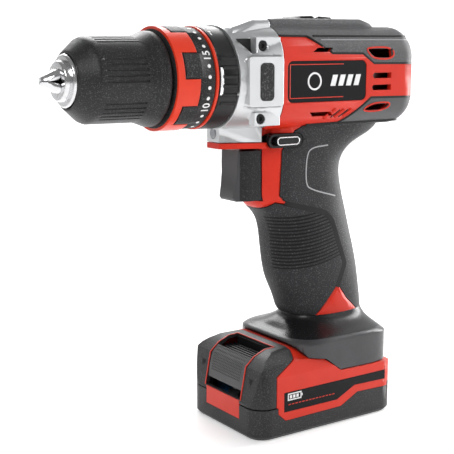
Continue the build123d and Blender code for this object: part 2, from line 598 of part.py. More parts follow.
# ---------------------------------------------------------------------------
# Keyless chuck
# ---------------------------------------------------------------------------

JAW_SLOPE = math.tan(math.radians(JAW_ANGLE))
CHUCK_SCREW_R = 2.5
NOSE_CHAMFER = 0.8


def jaw_axis_r(x):
    """Distance of a closed jaw's axis from the spindle axis at x."""
    return JAW_TIP_OFFSET + (x - JAW_TIP_X) * JAW_SLOPE


def jaw_place(x):
    """Location on the axis of the upper jaw; local z runs back along the jaw."""
    return Location((x, 0, AXIS_Z + jaw_axis_r(x)), (0, 90 - JAW_ANGLE, 0))


def make_chuck():
    rear_bore_x = CHUCK_REAR_X - 13.0
    body = turned([(CHUCK_TIP_RING_X, CHUCK_BORE_R), (CHUCK_TIP_RING_X, CHUCK_TIP_RING_R - NOSE_CHAMFER),
                   (CHUCK_TIP_RING_X + NOSE_CHAMFER, CHUCK_TIP_RING_R), (CHUCK_NOSE_X, CHUCK_TIP_RING_R),
                   (CHUCK_NOSE_X, CHUCK_NOSE_R - NOSE_CHAMFER), (CHUCK_NOSE_X + NOSE_CHAMFER, CHUCK_NOSE_R),
                   (SLEEVE_CONE_END_X - 1.0, CHUCK_NOSE_R), (SLEEVE_CONE_END_X + 1.0, CHUCK_BODY_R - 2.5),
                   (SLEEVE_CONE_END_X + 3.5, CHUCK_BODY_R), (CHUCK_REAR_X - FIT, CHUCK_BODY_R),
                   (CHUCK_REAR_X - FIT, SPINDLE_R), (rear_bore_x, SPINDLE_R), (rear_bore_x, CHUCK_BORE_R)])
    bore = jaw_place(CHUCK_TIP_RING_X - 6) * Cylinder(JAW_R + 0.1, 60,
                                                      align=(Align.CENTER, Align.CENTER, Align.MIN))
    bore &= box(CHUCK_TIP_RING_X - 10, CHUCK_REAR_X - 2.0, -FAR, FAR, 0, 300)
    clear = (JAW_R + 0.1) / math.cos(math.radians(JAW_ANGLE)) + 0.15
    nut_rear_x = NUT_FRONT_X + NUT_LENGTH
    groove_x0, groove_x1 = NUT_FRONT_X - 0.15, nut_rear_x + 0.15
    groove = turned([(groove_x0, jaw_axis_r(groove_x0) + clear - 0.1),
                     (groove_x1, jaw_axis_r(groove_x1) + clear - 0.1),
                     (groove_x1, 30), (groove_x0, 30)])
    body -= groove
    nut = turned([(NUT_FRONT_X, jaw_axis_r(NUT_FRONT_X) + clear + 0.1),
                  (nut_rear_x, jaw_axis_r(nut_rear_x) + clear + 0.1),
                  (nut_rear_x, SLEEVE_BORE_R), (NUT_FRONT_X, SLEEVE_BORE_R)])
    grooves = Part()
    tip = turned([(JAW_TIP_X, 0), (JAW_TIP_X, 1.7), (CHUCK_TIP_RING_X - 0.5, 5.6), (CHUCK_REAR_X, 24),
                  (CHUCK_REAR_X, 0)])
    for i in range(3):
        angle = 120 * i + 30
        body -= around(bore, angle)
        jaw = jaw_place(JAW_TIP_X) * Cylinder(JAW_R, JAW_LENGTH,
                                              align=(Align.CENTER, Align.CENTER, Align.MIN))
        jaw += jaw_place(JAW_TIP_X - 3) * Cylinder(JAW_R, 4, align=(Align.CENTER, Align.CENTER, Align.MIN))
        sector = wedge(-60, 60, 60, JAW_TIP_X - 1, CHUCK_REAR_X)
        jaw = (jaw & Pos(0, 0, 0.25) * sector) & tip
        keep("jaw_" + "abc"[i], around(jaw, angle))
    keep("chuck_body", body)
    keep("chuck_nut", list(halves_about_axis(nut)))
    rib_r = SLEEVE_R + 0.1
    sleeve = turned([(SLEEVE_FRONT_X, CHUCK_NOSE_R + 0.35), (SLEEVE_FRONT_X, CHUCK_NOSE_R + 0.9),
                     (SLEEVE_FRONT_X + 0.5, CHUCK_NOSE_R + 1.5), (SLEEVE_CONE_END_X - 1.0, SLEEVE_R - 0.8),
                     (SLEEVE_CONE_END_X + 0.8, SLEEVE_R), (SLEEVE_SKIRT_X, rib_r + 0.1),
                     (SLEEVE_SKIRT_X + 3.5, SLEEVE_SKIRT_R - 1.2), (SLEEVE_SKIRT_X + 6.5, SLEEVE_SKIRT_R),
                     (CHUCK_REAR_X - 0.6, SLEEVE_SKIRT_R), (CHUCK_REAR_X, SLEEVE_SKIRT_R - 0.6),
                     (CHUCK_REAR_X, SLEEVE_BORE_R + 1.0), (CHUCK_REAR_X - 1.0, SLEEVE_BORE_R),
                     (SLEEVE_CONE_END_X + 3.2, SLEEVE_BORE_R), (SLEEVE_CONE_END_X + 0.7, CHUCK_BODY_R - 2.2),
                     (SLEEVE_CONE_END_X - 1.3, CHUCK_NOSE_R + 0.35)])
    groove = x_cylinder(0.5, SLEEVE_CONE_END_X + 3, SLEEVE_SKIRT_X - 1, 0, AXIS_Z + SLEEVE_R + 0.15)
    for i in range(SLEEVE_RIB_COUNT):
        if i % 8 < 5:
            grooves += around(groove, 360 / SLEEVE_RIB_COUNT * i)
    keep("chuck_sleeve", sleeve - grooves)
    screw = x_cylinder(3.6, rear_bore_x - 3.2, rear_bore_x - 0.1)
    screw += x_cylinder(CHUCK_SCREW_R, rear_bore_x - 0.2, rear_bore_x + 12)
    keep("chuck_screw", screw - x_cylinder(1.4, rear_bore_x - 4, rear_bore_x - 1.4))


def halves_about_axis(shape):
    gap = 0.1
    upper = shape & box(-300, 100, -FAR, FAR, AXIS_Z + gap, 300)
    lower = shape & box(-300, 100, -FAR, FAR, 0, AXIS_Z - gap)
    return upper, lower


# ---------------------------------------------------------------------------
# Gear train
# ---------------------------------------------------------------------------

SUN_R = GEAR_MODULE * SUN_TEETH / 2
PLANET_R = GEAR_MODULE * PLANET_TEETH / 2
PLANET_CENTRE_R = SUN_R + PLANET_R
STAGE_GAP = 0.3
PINION_REAR_X = MOTOR_FRONT_X - 1.2
PLANET1_REAR_X = PINION_REAR_X - 1.0
PLANET1_FRONT_X = PLANET1_REAR_X - GEAR_WIDTH
RING1_REAR_X = PINION_REAR_X
RING1_FRONT_X = PLANET1_FRONT_X - 0.6
CARRIER1_REAR_X = PLANET1_FRONT_X - STAGE_GAP - 0.5
CARRIER1_FRONT_X = CARRIER1_REAR_X - PLATE_WIDTH
RING2_X = -51.0
RING2_LENGTH = 6.8
PLANET2_FRONT_X = RING2_X + 0.8
PLANET2_REAR_X = PLANET2_FRONT_X + GEAR_WIDTH
CARRIER2_REAR_X = PLANET2_FRONT_X - STAGE_GAP - 0.9
CARRIER2_FRONT_X = CARRIER2_REAR_X - PLATE_WIDTH


def flank_angle(r, r_base):
    """Involute angle at radius r."""
    a = math.acos(min(1.0, r_base / r))
    return math.tan(a) - a


def gear_outline(teeth, thin, add, ded, phase):
    """Points of an involute gear's outline in polar form (r, angle), phase on a tooth's middle."""
    pitch_r = GEAR_MODULE * teeth / 2
    base_r = pitch_r * math.cos(math.radians(PRESSURE_ANGLE))
    low, high = pitch_r - ded, pitch_r + add
    half = math.pi / 2 / teeth - thin / pitch_r
    points = []
    start = max(low, base_r)
    radii = [start + (high - start) * k / 4 for k in range(5)]
    for i in range(teeth):
        middle = phase + 2 * math.pi * i / teeth
        offsets = [half + flank_angle(pitch_r, base_r) - flank_angle(r, base_r) for r in radii]
        root = [(low, offsets[0])] if low < base_r - 0.01 else []
        rising = root + list(zip(radii, offsets))
        points += [(r, middle - o) for r, o in rising]
        points += [(r, middle + o) for r, o in reversed(rising)]
    return points


def gear_solid(outline, x0, x1, y=0.0, z=AXIS_Z):
    """Extrude a polar outline along X; angle 0 points up, positive turns towards -Y."""
    points = [(x0, y - r * math.sin(a), z + r * math.cos(a)) for r, a in outline]
    return extrude(Face(Wire.make_polygon(points, close=True)), amount=x1 - x0, dir=(1, 0, 0))


def sun_gear(x0, x1):
    outline = gear_outline(SUN_TEETH, BACKLASH / 2, 0.9 * GEAR_MODULE, 1.25 * GEAR_MODULE, 0.0)
    return gear_solid(outline, x0, x1)


def planet_gear(x0, x1):
    half_tooth = math.pi / PLANET_TEETH
    outline = gear_outline(PLANET_TEETH, BACKLASH / 2, 0.9 * GEAR_MODULE, 1.25 * GEAR_MODULE, half_tooth)
    gear = gear_solid(outline, x0, x1, 0, AXIS_Z + PLANET_CENTRE_R)
    return gear - x_cylinder(PIN_R + RUN, x0 - 1, x1 + 1, 0, AXIS_Z + PLANET_CENTRE_R)


def ring_gear(x0, x1):
    space = math.pi / RING_TEETH
    outline = gear_outline(RING_TEETH, -BACKLASH / 2, 1.25 * GEAR_MODULE, 0.9 * GEAR_MODULE, space)
    return x_cylinder(RING_GEAR_R, x0, x1) - gear_solid(outline, x0 - 1, x1 + 1)


def carrier(plate_x0, plate_x1, pin_end_x, bore_r):
    plate = x_cylinder(PLATE_R, plate_x0, plate_x1)
    if bore_r:
        plate -= x_cylinder(bore_r, plate_x0 - 1, plate_x1 + 1)
    for i in range(PLANETS):
        plate += around(x_cylinder(PIN_R, plate_x1 - 0.5, pin_end_x, 0, AXIS_Z + PLANET_CENTRE_R),
                        360 / PLANETS * i)
    return plate


def make_gears():
    ring1 = ring_gear(RING1_FRONT_X, RING1_REAR_X)
    groove_x0, groove_x1 = FORK_X - 0.15, FORK_X + 2.15
    ring1 -= x_ring(20, RING_GEAR_R - 1.2, groove_x0, groove_x1)
    keep("ring_gear_1", ring1)
    keep("ring_gear_2", ring_gear(RING2_X, RING2_X + RING2_LENGTH))
    for i in range(PLANETS):
        keep("planet_1" + "abc"[i], around(planet_gear(PLANET1_FRONT_X, PLANET1_REAR_X), 120 * i))
        keep("planet_2" + "abc"[i], around(planet_gear(PLANET2_FRONT_X, PLANET2_REAR_X), 120 * i))
    first = carrier(CARRIER1_FRONT_X, CARRIER1_REAR_X, PLANET1_REAR_X - 0.3, 0)
    first += x_cylinder(2.3, PLANET2_REAR_X + 0.4, CARRIER1_FRONT_X + 0.2)
    first += sun_gear(PLANET2_FRONT_X - 0.2, PLANET2_REAR_X + 0.8)
    keep("carrier_1", first)
    keep("carrier_2", carrier(CARRIER2_FRONT_X, CARRIER2_REAR_X, PLANET2_REAR_X - 0.3, SPINDLE_R))


def make_spindle():
    """Spindle with its retaining ring and ratchet, its bearing, and the fixed ratchet."""
    rod = x_cylinder(SPINDLE_R, CHUCK_REAR_X - 13.0, CARRIER2_REAR_X)
    rod -= x_cylinder(CHUCK_SCREW_R + RUN, CHUCK_REAR_X - 14.0, CHUCK_REAR_X - 0.5)
    bearing_x = NECK_FRONT_X + 0.5
    outer = x_ring(BEARING_R + RUN, BEARING_R - 1.6, bearing_x, bearing_x + BEARING_WIDTH)
    inner = x_ring(SPINDLE_R + 1.5, SPINDLE_R + RUN, bearing_x, bearing_x + BEARING_WIDTH)
    race_r = (BEARING_R - 1.6 + SPINDLE_R + 1.5) / 2
    ball_r = (BEARING_R - 1.6 - SPINDLE_R - 1.5) / 2 + 0.35
    trough = Plane(origin=(bearing_x + BEARING_WIDTH / 2, 0, AXIS_Z + race_r),
                   z_dir=(0, 1, 0)) * Circle(ball_r + 0.02)
    trough = revolve(trough, axis=SPINDLE_AXIS, revolution_arc=360)
    pieces = [outer - trough, inner - trough]
    for i in range(9):
        ball = Pos(bearing_x + BEARING_WIDTH / 2, 0, AXIS_Z + race_r) * Sphere(ball_r)
        pieces.append(around(ball, 40 * i))
    keep("spindle_bearing", pieces)
    clip_x = bearing_x + BEARING_WIDTH + 0.4
    rod += x_ring(SPINDLE_R + 1.6, SPINDLE_R - 0.5, clip_x, clip_x + 1.0)
    teeth = Part()
    for i in range(12):
        teeth += around(wedge(-7.5, 7.5, 20, -80, -40), 30 * i)
    fixed = x_ring(BEARING_R + RUN, SPINDLE_R + 0.4, -68.6, -65.6)
    fixed += x_ring(BEARING_R + RUN, SPINDLE_R + 0.4, -65.8, -64.8) & teeth
    keep("hammer_ratchet_fixed", fixed)
    rod += x_ring(BEARING_R - FIT, SPINDLE_R - 0.5, -63.2, -60.8)
    rod += x_ring(BEARING_R - FIT, SPINDLE_R - 0.5, -64.0, -63.0) & teeth
    keep("spindle", rod)


# ---------------------------------------------------------------------------
# Motor
# ---------------------------------------------------------------------------

def make_motor():
    x0, x1 = MOTOR_FRONT_X, MOTOR_FRONT_X + MOTOR_LENGTH
    bell_x = x1 - 3.0
    inner = MOTOR_R - CAN_WALL
    can = x_ring(MOTOR_R, inner, x0, bell_x) + x_ring(MOTOR_R, SHAFT_R + RUN, x0, x0 + 1.5)
    slot = x_cylinder(2.2, x0 - 1, x0 + 3, 0, AXIS_Z + 10.5)
    for i in range(6):
        can -= around(slot, 60 * i + 30)
    magnet = x_ring(inner + 0.1, MAGNET_INNER_R, x0 + 10, bell_x - 9) & wedge(-65, 65, 40, x0, bell_x)
    can += magnet
    can += around(magnet, 180)
    keep("motor_can", can)
    bell = x_ring(inner, SHAFT_R + RUN, bell_x, x1) + x_ring(6.0, SHAFT_R + RUN, x1 - 0.5, x1 + 1.6)
    for side in (0, 180):
        holder = box(bell_x - 6.2, bell_x + 0.5, -3.4, 3.4, AXIS_Z + COMMUTATOR_R + 1.0, AXIS_Z + 14.0)
        holder -= box(bell_x - 7, bell_x, -2.1, 2.1, AXIS_Z, AXIS_Z + 13)
        bell += around(holder, side)
    keep("motor_end_bell", bell)
    brush = box(bell_x - 5.6, bell_x - 0.9, -2.0, 2.0, AXIS_Z + COMMUTATOR_R + RUN + 0.3, AXIS_Z + 12.0)
    keep("carbon_brushes", [brush, around(brush, 180)])
    shaft = x_cylinder(SHAFT_R, PINION_REAR_X - 1.0, x1 + 2.6)
    keep("motor_shaft", shaft + sun_gear(PLANET1_FRONT_X - 0.2, PINION_REAR_X))
    core = x_ring(ARMATURE_R, SHAFT_R, x0 + 12, bell_x - 11)
    slot = box(x0, bell_x, -1.0, 1.0, AXIS_Z + 6.5, AXIS_Z + 11.6)
    slot += box(x0, bell_x, -0.5, 0.5, AXIS_Z + 11, AXIS_Z + 15)
    for i in range(8):
        core -= around(slot, 45 * i)
    for wind_x0, wind_x1 in ((x0 + 7.6, x0 + 12), (bell_x - 11, bell_x - 7.6)):
        winding = x_ring(11.4, SHAFT_R, wind_x0, wind_x1)
        core += fillet(winding.edges().filter_by(GeomType.CIRCLE).group_by(SortBy.RADIUS)[-1], 1.4)
    core += x_ring(COMMUTATOR_R, SHAFT_R, bell_x - 7.8, bell_x - 0.6)
    keep("armature", core)
    fan = x_ring(4.2, SHAFT_R, x0 + 2.0, x0 + 7.0) + x_ring(15.6, 4.0, x0 + 2.0, x0 + 2.8)
    for i in range(10):
        fan += around(box(x0 + 2.4, x0 + 6.6, -0.5, 0.5, AXIS_Z + 3.8, AXIS_Z + 15.4), 36 * i)
    keep("cooling_fan", fan)


# ---------------------------------------------------------------------------
# Controls: speed selector, direction button, trigger and its switch
# ---------------------------------------------------------------------------

TRIGGER_FRONT_X = -44.0
TRIGGER_REAR_X = -24.5
SWITCH_BOX = (-14.0, 12.5, -8.0, 8.0, 110.5, 136.6)
STEM_R = 2.2
STEM_Z = 125.0


def make_selector():
    x0, x1, w = SELECTOR
    base = box(x0, x1, -w, w, POCKET_Z + FIT, AXIS_Z + 26.6)
    crown = side_prism([(x0 + 1.2, AXIS_Z + 26.4), (x0 + 2.4, AXIS_Z + 28.4), (x0 + 9.2, AXIS_Z + 28.6),
                        (x0 + 11.2, AXIS_Z + 27.4), (x0 + 13.2, AXIS_Z + 28.4), (x1 - 2.2, AXIS_Z + 28.0),
                        (x1 - 1.0, AXIS_Z + 26.4)], -w + 1.2, w - 1.2)
    stem_x = x0 + STEM_OFFSET
    stem = box(stem_x, stem_x + STEM_LENGTH, -STEM_HALF_W, STEM_HALF_W, AXIS_Z + 20.4, POCKET_Z + 0.6)
    arm = box(FORK_X - 0.8, stem_x + STEM_LENGTH + 1.0, -FORK_HALF_W, FORK_HALF_W,
              AXIS_Z + 18.4, AXIS_Z + 20.4)
    finger = box(FORK_X, FORK_X + 2.0, -FORK_HALF_W, FORK_HALF_W, AXIS_Z + RING_GEAR_R - 1.1, AXIS_Z + 18.6)
    keep("speed_selector", base + crown + stem + arm + finger)


def make_trigger():
    y1, z0, z1 = TRIGGER_SLOT[1:]
    low, high, w = z0 + 0.5, z1 - 0.5, y1 - 0.45
    x0 = TRIGGER_FRONT_X
    side = [(x0 + 1.6, high), (x0 + 1.3, 131.0), (x0 + 1.4, 126.0), (x0 + 0.6, 120.0), (x0 - 0.6, 114.6),
            (x0 + 0.8, low), (TRIGGER_REAR_X, low), (TRIGGER_REAR_X, high)]
    plan = Face(Wire.make_polygon([(x0 - 2, -5.0, low - 1), (x0 + 3, -7.4, low - 1), (x0 + 8, -w, low - 1),
                                   (TRIGGER_REAR_X, -w, low - 1), (TRIGGER_REAR_X, w, low - 1),
                                   (x0 + 8, w, low - 1),
                                   (x0 + 3, 7.4, low - 1), (x0 - 2, 5.0, low - 1)], close=True))
    lever = side_prism(side, -w - 1, w + 1) & extrude(plan, amount=30, dir=(0, 0, 1))
    lever -= box(TRIGGER_REAR_X - 6, TRIGGER_REAR_X + 1, -w + 2, w - 2, low + 2, high - 2)
    lever += x_cylinder(STEM_R, TRIGGER_REAR_X - 6.4, SWITCH_BOX[0] + 2, 0, STEM_Z)
    keep("trigger", lever)
    body = box(*SWITCH_BOX)
    body -= x_cylinder(STEM_R + 0.3, SWITCH_BOX[0] - 1, SWITCH_BOX[0] + TRIGGER_TRAVEL + 3.5, 0, STEM_Z)
    body += box(-6.0, 8.0, -6.0, 6.0, SWITCH_BOX[4] - 4.0, SWITCH_BOX[4] + 0.2)
    keep("switch_body", body)
    spring_x0, spring_x1 = TRIGGER_REAR_X - 5.9, SWITCH_BOX[0] - 0.1
    keep("trigger_spring", Location((spring_x0, 0, STEM_Z), (0, 90, 0))
         * coil(4.2, 0.5, spring_x1 - spring_x0, 6))
    mid_z = (BUTTON_SLOT[2] + BUTTON_SLOT[3]) / 2
    bar = box(BUTTON_X0, BUTTON_X1, -BUTTON_HALF_LENGTH, BUTTON_HALF_LENGTH, mid_z - 2.1, mid_z + 2.1)
    keep("direction_button", fillet(bar.edges().filter_by(Axis.Y), 1.9))


BUTTON_X0 = -27.4
BUTTON_X1 = -13.6
BUTTON_HALF_LENGTH = 17.2


# ---------------------------------------------------------------------------
# Foot with the battery rails, and the battery
# ---------------------------------------------------------------------------

FOOT_WALL = 2.6
RAIL_STEM_HALF_W = 11.0
RAIL_SLOT_Z = PACK_DECK_Z + PACK_GAP
RAIL_TOP_Z = PACK_DECK_Z + RAIL_HEIGHT
FLANGE_Z = PACK_DECK_Z + 3.7
CEILING_Z = RAIL_TOP_Z + PACK_GAP
RAIL_OUTER_Y = PACK_HALF_W - PACK_WALL - 0.5 - PACK_GAP
RAIL_FRONT_X = -10.0
RAIL_REAR_X = 28.0
TAB_YS = (-8.0, 0.0, 8.0)


def make_foot():
    edge = [(FOOT_FRONT_X - 30, 42.8)] + FOOT_SIDE + [(FAR, 27.4), (FAR, 0), (FOOT_FRONT_X - 30, 0)]
    below = side_prism(edge, -FAR, FAR)
    outer = foot_form(0) - below
    foot = outer - foot_form(FOOT_WALL)
    ceiling = side_prism([(FOOT_FRONT_X, 42.8), (-14.3, 36.4), (-2.8, 34.7), (-2.8, CEILING_Z),
                          (FAR, CEILING_Z), (FAR, CEILING_Z + 2.2), (-2.0, CEILING_Z + 2.2),
                          (-4.5, 36.9), (-13.0, 38.8), (FOOT_FRONT_X, 45.2)], -FAR, FAR)
    foot += ceiling & foot_form(1.0)
    for side in (-1, 1):
        y_in = side * (RAIL_STEM_HALF_W + PACK_GAP)
        y_mid = side * RAIL_OUTER_Y
        y_out = side * (FOOT_HALF_W - 1.0)
        rail = box(-3.0, FOOT_REAR_X - 3.0, min(y_in, y_mid), max(y_in, y_mid), RAIL_SLOT_Z,
                   FLANGE_Z - PACK_GAP)
        rail += box(5.0, FOOT_REAR_X - 3.0, min(y_mid, y_out), max(y_mid, y_out), 27.4, FLANGE_Z - PACK_GAP)
        foot += rail & foot_form(0.6)
    keep("foot", foot)
    half = RAIL_STEM_HALF_W - 1
    block = box(RAIL_REAR_X + 1.2, RAIL_REAR_X + 9.0, -half, half, FLANGE_Z, CEILING_Z)
    for y in TAB_YS:
        block += box(RAIL_REAR_X - 7.0, RAIL_REAR_X + 1.6, y - 0.4, y + 0.4, FLANGE_Z + 0.6, RAIL_TOP_Z - 0.6)
    keep("terminal_block", block)


CAP_ZONE = [(-FAR, PACK_SEAM_Z), (-35.5, PACK_SEAM_Z), (-35.5, 30.8), (-22.6, 37.2), (-20.0, 46.0),
            (-FAR, 46.0)]
SIDE_TAB = [(-34.3, PACK_SEAM_Z + 1), (-34.3, 12.4), (-30.0, 8.4), (4.6, 8.8), (15.4, 14.2), (36.0, 13.6),
            (36.0, PACK_SEAM_Z + 1)]
FRONT_PLATE = (14.2, 8.2, 17.4)          # half-width, z0, z1
BUTTON_WINDOW = (15.0, 17.8, 38.0)       # half-width, z0, z1 of the opening for the release button
BUTTON_LOW_Z = 22.0       # the button stands this high and slides down to release
PACK_SCREW_X = PACK_FRONT_X + 4.6
PACK_SCREW_Y = 20.4
LATCH_X = -36.6
LATCH_LOW_Z = 16.8        # seat of the latch spring in the tub
LATCH_HIGH_Z = 28.0       # underside of the button's shelf
LABEL = [(-31.0, 12.6), (2.0, 12.6), (13.4, 18.0), (34.0, 17.6), (34.0, 22.4), (-31.0, 22.4)]


def pack_form(inset):
    """Battery's outer form, pulled in by inset."""
    rear = PACK_FRONT_X + PACK_LENGTH
    i = inset
    plan = RectangleRounded(PACK_LENGTH - 2 * i, 2 * (PACK_HALF_W - i), PACK_CORNER_R - i)
    plan = Pos((PACK_FRONT_X + rear) / 2, 0, i) * plan
    block = extrude(plan.face(), amount=PACK_CAP_Z + 5, dir=(0, 0, 1))
    side = [(PACK_FRONT_X + i, i), (PACK_FRONT_X + i, PACK_SEAM_Z + 1.5), (PACK_FRONT_X + 3.4 + i, 34.0 - i),
            (-38.6 + i, 38.2 - i), (-32.6, PACK_CAP_Z - 0.3 - i), (-19.6 - i, PACK_CAP_Z + 0.3 - i)]
    side += [(x, z - PACK_GAP - i) for x, z in FOOT_SIDE[1:-1]]
    side += [(rear - i, FOOT_SIDE[-1][1] - PACK_GAP - i), (rear - i, i)]
    cross = [(PACK_HALF_W - i, i), (PACK_HALF_W - i, 30.4), (PACK_HALF_W - 2.6 - i, 36.2 - i),
             (21.8, PACK_CAP_Z - 0.6 - i), (17.0, PACK_CAP_Z + 0.4 - i)]
    outline = cross + [(-y, z) for y, z in reversed(cross)]
    lid = extrude(Face(Wire.make_polygon([(-60, y, z) for y, z in outline], close=True)), amount=120,
                  dir=(1, 0, 0))
    return block & side_prism(side, -FAR, FAR) & lid


def make_battery():
    outer = pack_form(0)
    outer = chamfer(outer.edges().filter_by(lambda e: e.center().Z < 0.01), 1.8)
    inner = pack_form(PACK_WALL)
    whole = outer - inner
    above = box(-100, 100, -FAR, FAR, PACK_SEAM_Z, 80)
    tabs = both_sides(SIDE_TAB, PACK_HALF_W - 0.9, FAR)
    half, z0, z1 = FRONT_PLATE
    front = box(PACK_FRONT_X - 1, PACK_FRONT_X + 1.0, -half, half, z0, z1)
    base = whole - box(-100, 100, -FAR, FAR, PACK_SEAM_Z - SEAM, 80)
    base -= both_sides(grown(SIDE_TAB, SEAM / 2), PACK_HALF_W - 0.9, FAR)
    base -= box(PACK_FRONT_X - 1, PACK_FRONT_X + 1.2, -half - 0.2, half + 0.2, z0 - 0.2, z1)
    cap = whole & side_prism(grown(CAP_ZONE, -SEAM / 2), -FAR, FAR)
    screws = []
    for y in (-PACK_SCREW_Y, PACK_SCREW_Y):
        base += z_cylinder(3.0, 0.5, PACK_SEAM_Z - SEAM, PACK_SCREW_X, y)
        base -= z_cylinder(SCREW_HEAD_R + 0.2, -1, 3.4, PACK_SCREW_X, y)
        base -= z_cylinder(SCREW_R + 0.2, -1, 20, PACK_SCREW_X, y)
        cap += z_cylinder(3.0, PACK_SEAM_Z + SEAM / 2, 29.0, PACK_SCREW_X, y)
        cap -= z_cylinder(SCREW_R + RUN, PACK_SEAM_Z - 1, 27.0, PACK_SCREW_X, y)
        screw = z_cylinder(SCREW_HEAD_R, 1.0, 3.4, PACK_SCREW_X, y)
        screw += z_cylinder(SCREW_R, 3.4, 25.0, PACK_SCREW_X, y)
        screws.append(screw - z_cylinder(1.2, 0, 2.4, PACK_SCREW_X, y))
    keep("pack_screws", screws)
    base += box(LATCH_X - 3.6, LATCH_X + 3.6, -4.0, 4.0, 1.0, LATCH_LOW_Z)
    keep("pack_base", base)
    cap -= box(PACK_FRONT_X - 1, PACK_FRONT_X + 1.2, -half - 0.2, half + 0.2, z0 - 0.2, z1 + 0.2)
    half_w, w0, w1 = BUTTON_WINDOW
    cap -= side_prism([(-60, w0), (-40.0, w0), (-27.0, w1 - 1.0), (-27.0, 60), (-60, 60)], -half_w, half_w)
    keep("pack_front_cap", cap)
    top = whole - side_prism(grown(CAP_ZONE, SEAM / 2), -FAR, FAR)
    top &= above
    top += outer & tabs
    recess_w = PACK_HALF_W - PACK_WALL - 0.5
    top -= box(-4.4, 80, -recess_w, recess_w, PACK_DECK_Z, 80)
    deck = box(-4.4 - PACK_WALL, PACK_FRONT_X + PACK_LENGTH - 1.0, -recess_w, recess_w,
               PACK_DECK_Z - PACK_WALL, PACK_DECK_Z)
    top += deck & pack_form(1.0)
    stem = box(RAIL_FRONT_X, RAIL_REAR_X, -RAIL_STEM_HALF_W, RAIL_STEM_HALF_W, PACK_DECK_Z - 0.5, RAIL_TOP_Z)
    flange = box(RAIL_FRONT_X, RAIL_REAR_X, -RAIL_HALF_W, RAIL_HALF_W, FLANGE_Z, RAIL_TOP_Z)
    block = stem + flange
    for y in TAB_YS:
        block -= box(RAIL_REAR_X - 9.0, RAIL_REAR_X + 1, y - 0.9, y + 0.9, FLANGE_Z + 0.1, RAIL_TOP_Z + 1)
    top += block
    top -= both_sides(LABEL, PACK_HALF_W - 0.4, FAR)
    keep("pack_top", [top, outer & front])
    face = [(PACK_FRONT_X + 1.4, BUTTON_LOW_Z), (PACK_FRONT_X + 2.0, 27.0), (PACK_FRONT_X + 3.6, 34.0),
            (-39.6, 37.4),
            (-38.4, 36.4), (-39.4, 33.4), (PACK_FRONT_X + 5.6, 30.0), (PACK_FRONT_X + 5.0, BUTTON_LOW_Z)]
    button = side_prism(face, -half_w + 0.5, half_w - 0.5)
    button += box(PACK_FRONT_X + 5.0, LATCH_X + 3.6, -6.0, 6.0, LATCH_HIGH_Z, LATCH_HIGH_Z + 2.0)
    keep("release_button", button)
    latch = coil(2.6, 0.4, LATCH_HIGH_Z - LATCH_LOW_Z - 0.2, 6)
    keep("latch_spring", Pos(LATCH_X, 0, LATCH_LOW_Z + 0.1) * latch)
    cells = []
    pitch = 2 * CELL_R + 0.1
    for i in (-1, 0, 1):
        cells.append(x_cylinder(CELL_R, CELL_FRONT_X, CELL_FRONT_X + CELL_LENGTH, i * pitch,
                                PACK_WALL + 0.4 + CELL_R))
    cells.append(box(-22, 26, -13, 13, 21.4, 22.8))
    keep("battery_cells", cells)


def main():
    keep("housing_screws", make_housing() + make_gear_case())
    make_collars()
    make_chuck()
    make_gears()
    make_spindle()
    make_motor()
    make_selector()
    make_trigger()
    make_foot()
    make_battery()
    os.makedirs("parts", exist_ok=True)
    for name, shape in parts.items():
        export_step(shape, f"parts/{name}.step")


main()
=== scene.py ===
import json
from math import cos, pi, radians, sin

import bmesh
import bpy
from mathutils import Matrix, Vector
from mathutils.bvhtree import BVHTree


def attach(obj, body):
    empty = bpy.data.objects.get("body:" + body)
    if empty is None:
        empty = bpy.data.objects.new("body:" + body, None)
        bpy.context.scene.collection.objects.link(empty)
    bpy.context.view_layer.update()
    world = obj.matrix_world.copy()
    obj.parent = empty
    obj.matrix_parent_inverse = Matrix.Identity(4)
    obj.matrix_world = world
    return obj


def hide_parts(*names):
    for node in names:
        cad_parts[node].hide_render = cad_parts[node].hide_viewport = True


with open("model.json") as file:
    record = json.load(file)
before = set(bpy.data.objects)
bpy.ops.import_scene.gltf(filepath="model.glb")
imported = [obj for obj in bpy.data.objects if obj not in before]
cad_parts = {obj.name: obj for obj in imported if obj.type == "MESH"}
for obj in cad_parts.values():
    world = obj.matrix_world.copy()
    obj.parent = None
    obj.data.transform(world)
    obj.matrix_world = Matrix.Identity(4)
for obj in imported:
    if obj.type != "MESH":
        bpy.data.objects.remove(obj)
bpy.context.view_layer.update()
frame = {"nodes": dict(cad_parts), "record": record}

# ---------------------------------------------------------------------------
# Gear case. An aluminium die casting with satin silver lacquer, left and right
# ears that take the case screws, a framed seat for a rubber pad on each side,
# and a recess ahead of the upper ear, whose shade is painted as a near-black plate.
# ---------------------------------------------------------------------------

AXIS_Z = 0.1713
BROAD_SCALE = 90.0
GRAIN_PEAKS = (0.54, 0.72)
COAT_ROUGHNESS = 0.2
WELD_DISTANCE = 2e-6
FLAT_ANGLE = 0.6
SMOOTH_ANGLE = 38.0
BOTH_SIDES = ((-1, "left"), (1, "right"))
bodies = frame["record"]["behaviour"]["bodies"]
body_of_node = {node: body for body, members in bodies.items() for node in members}


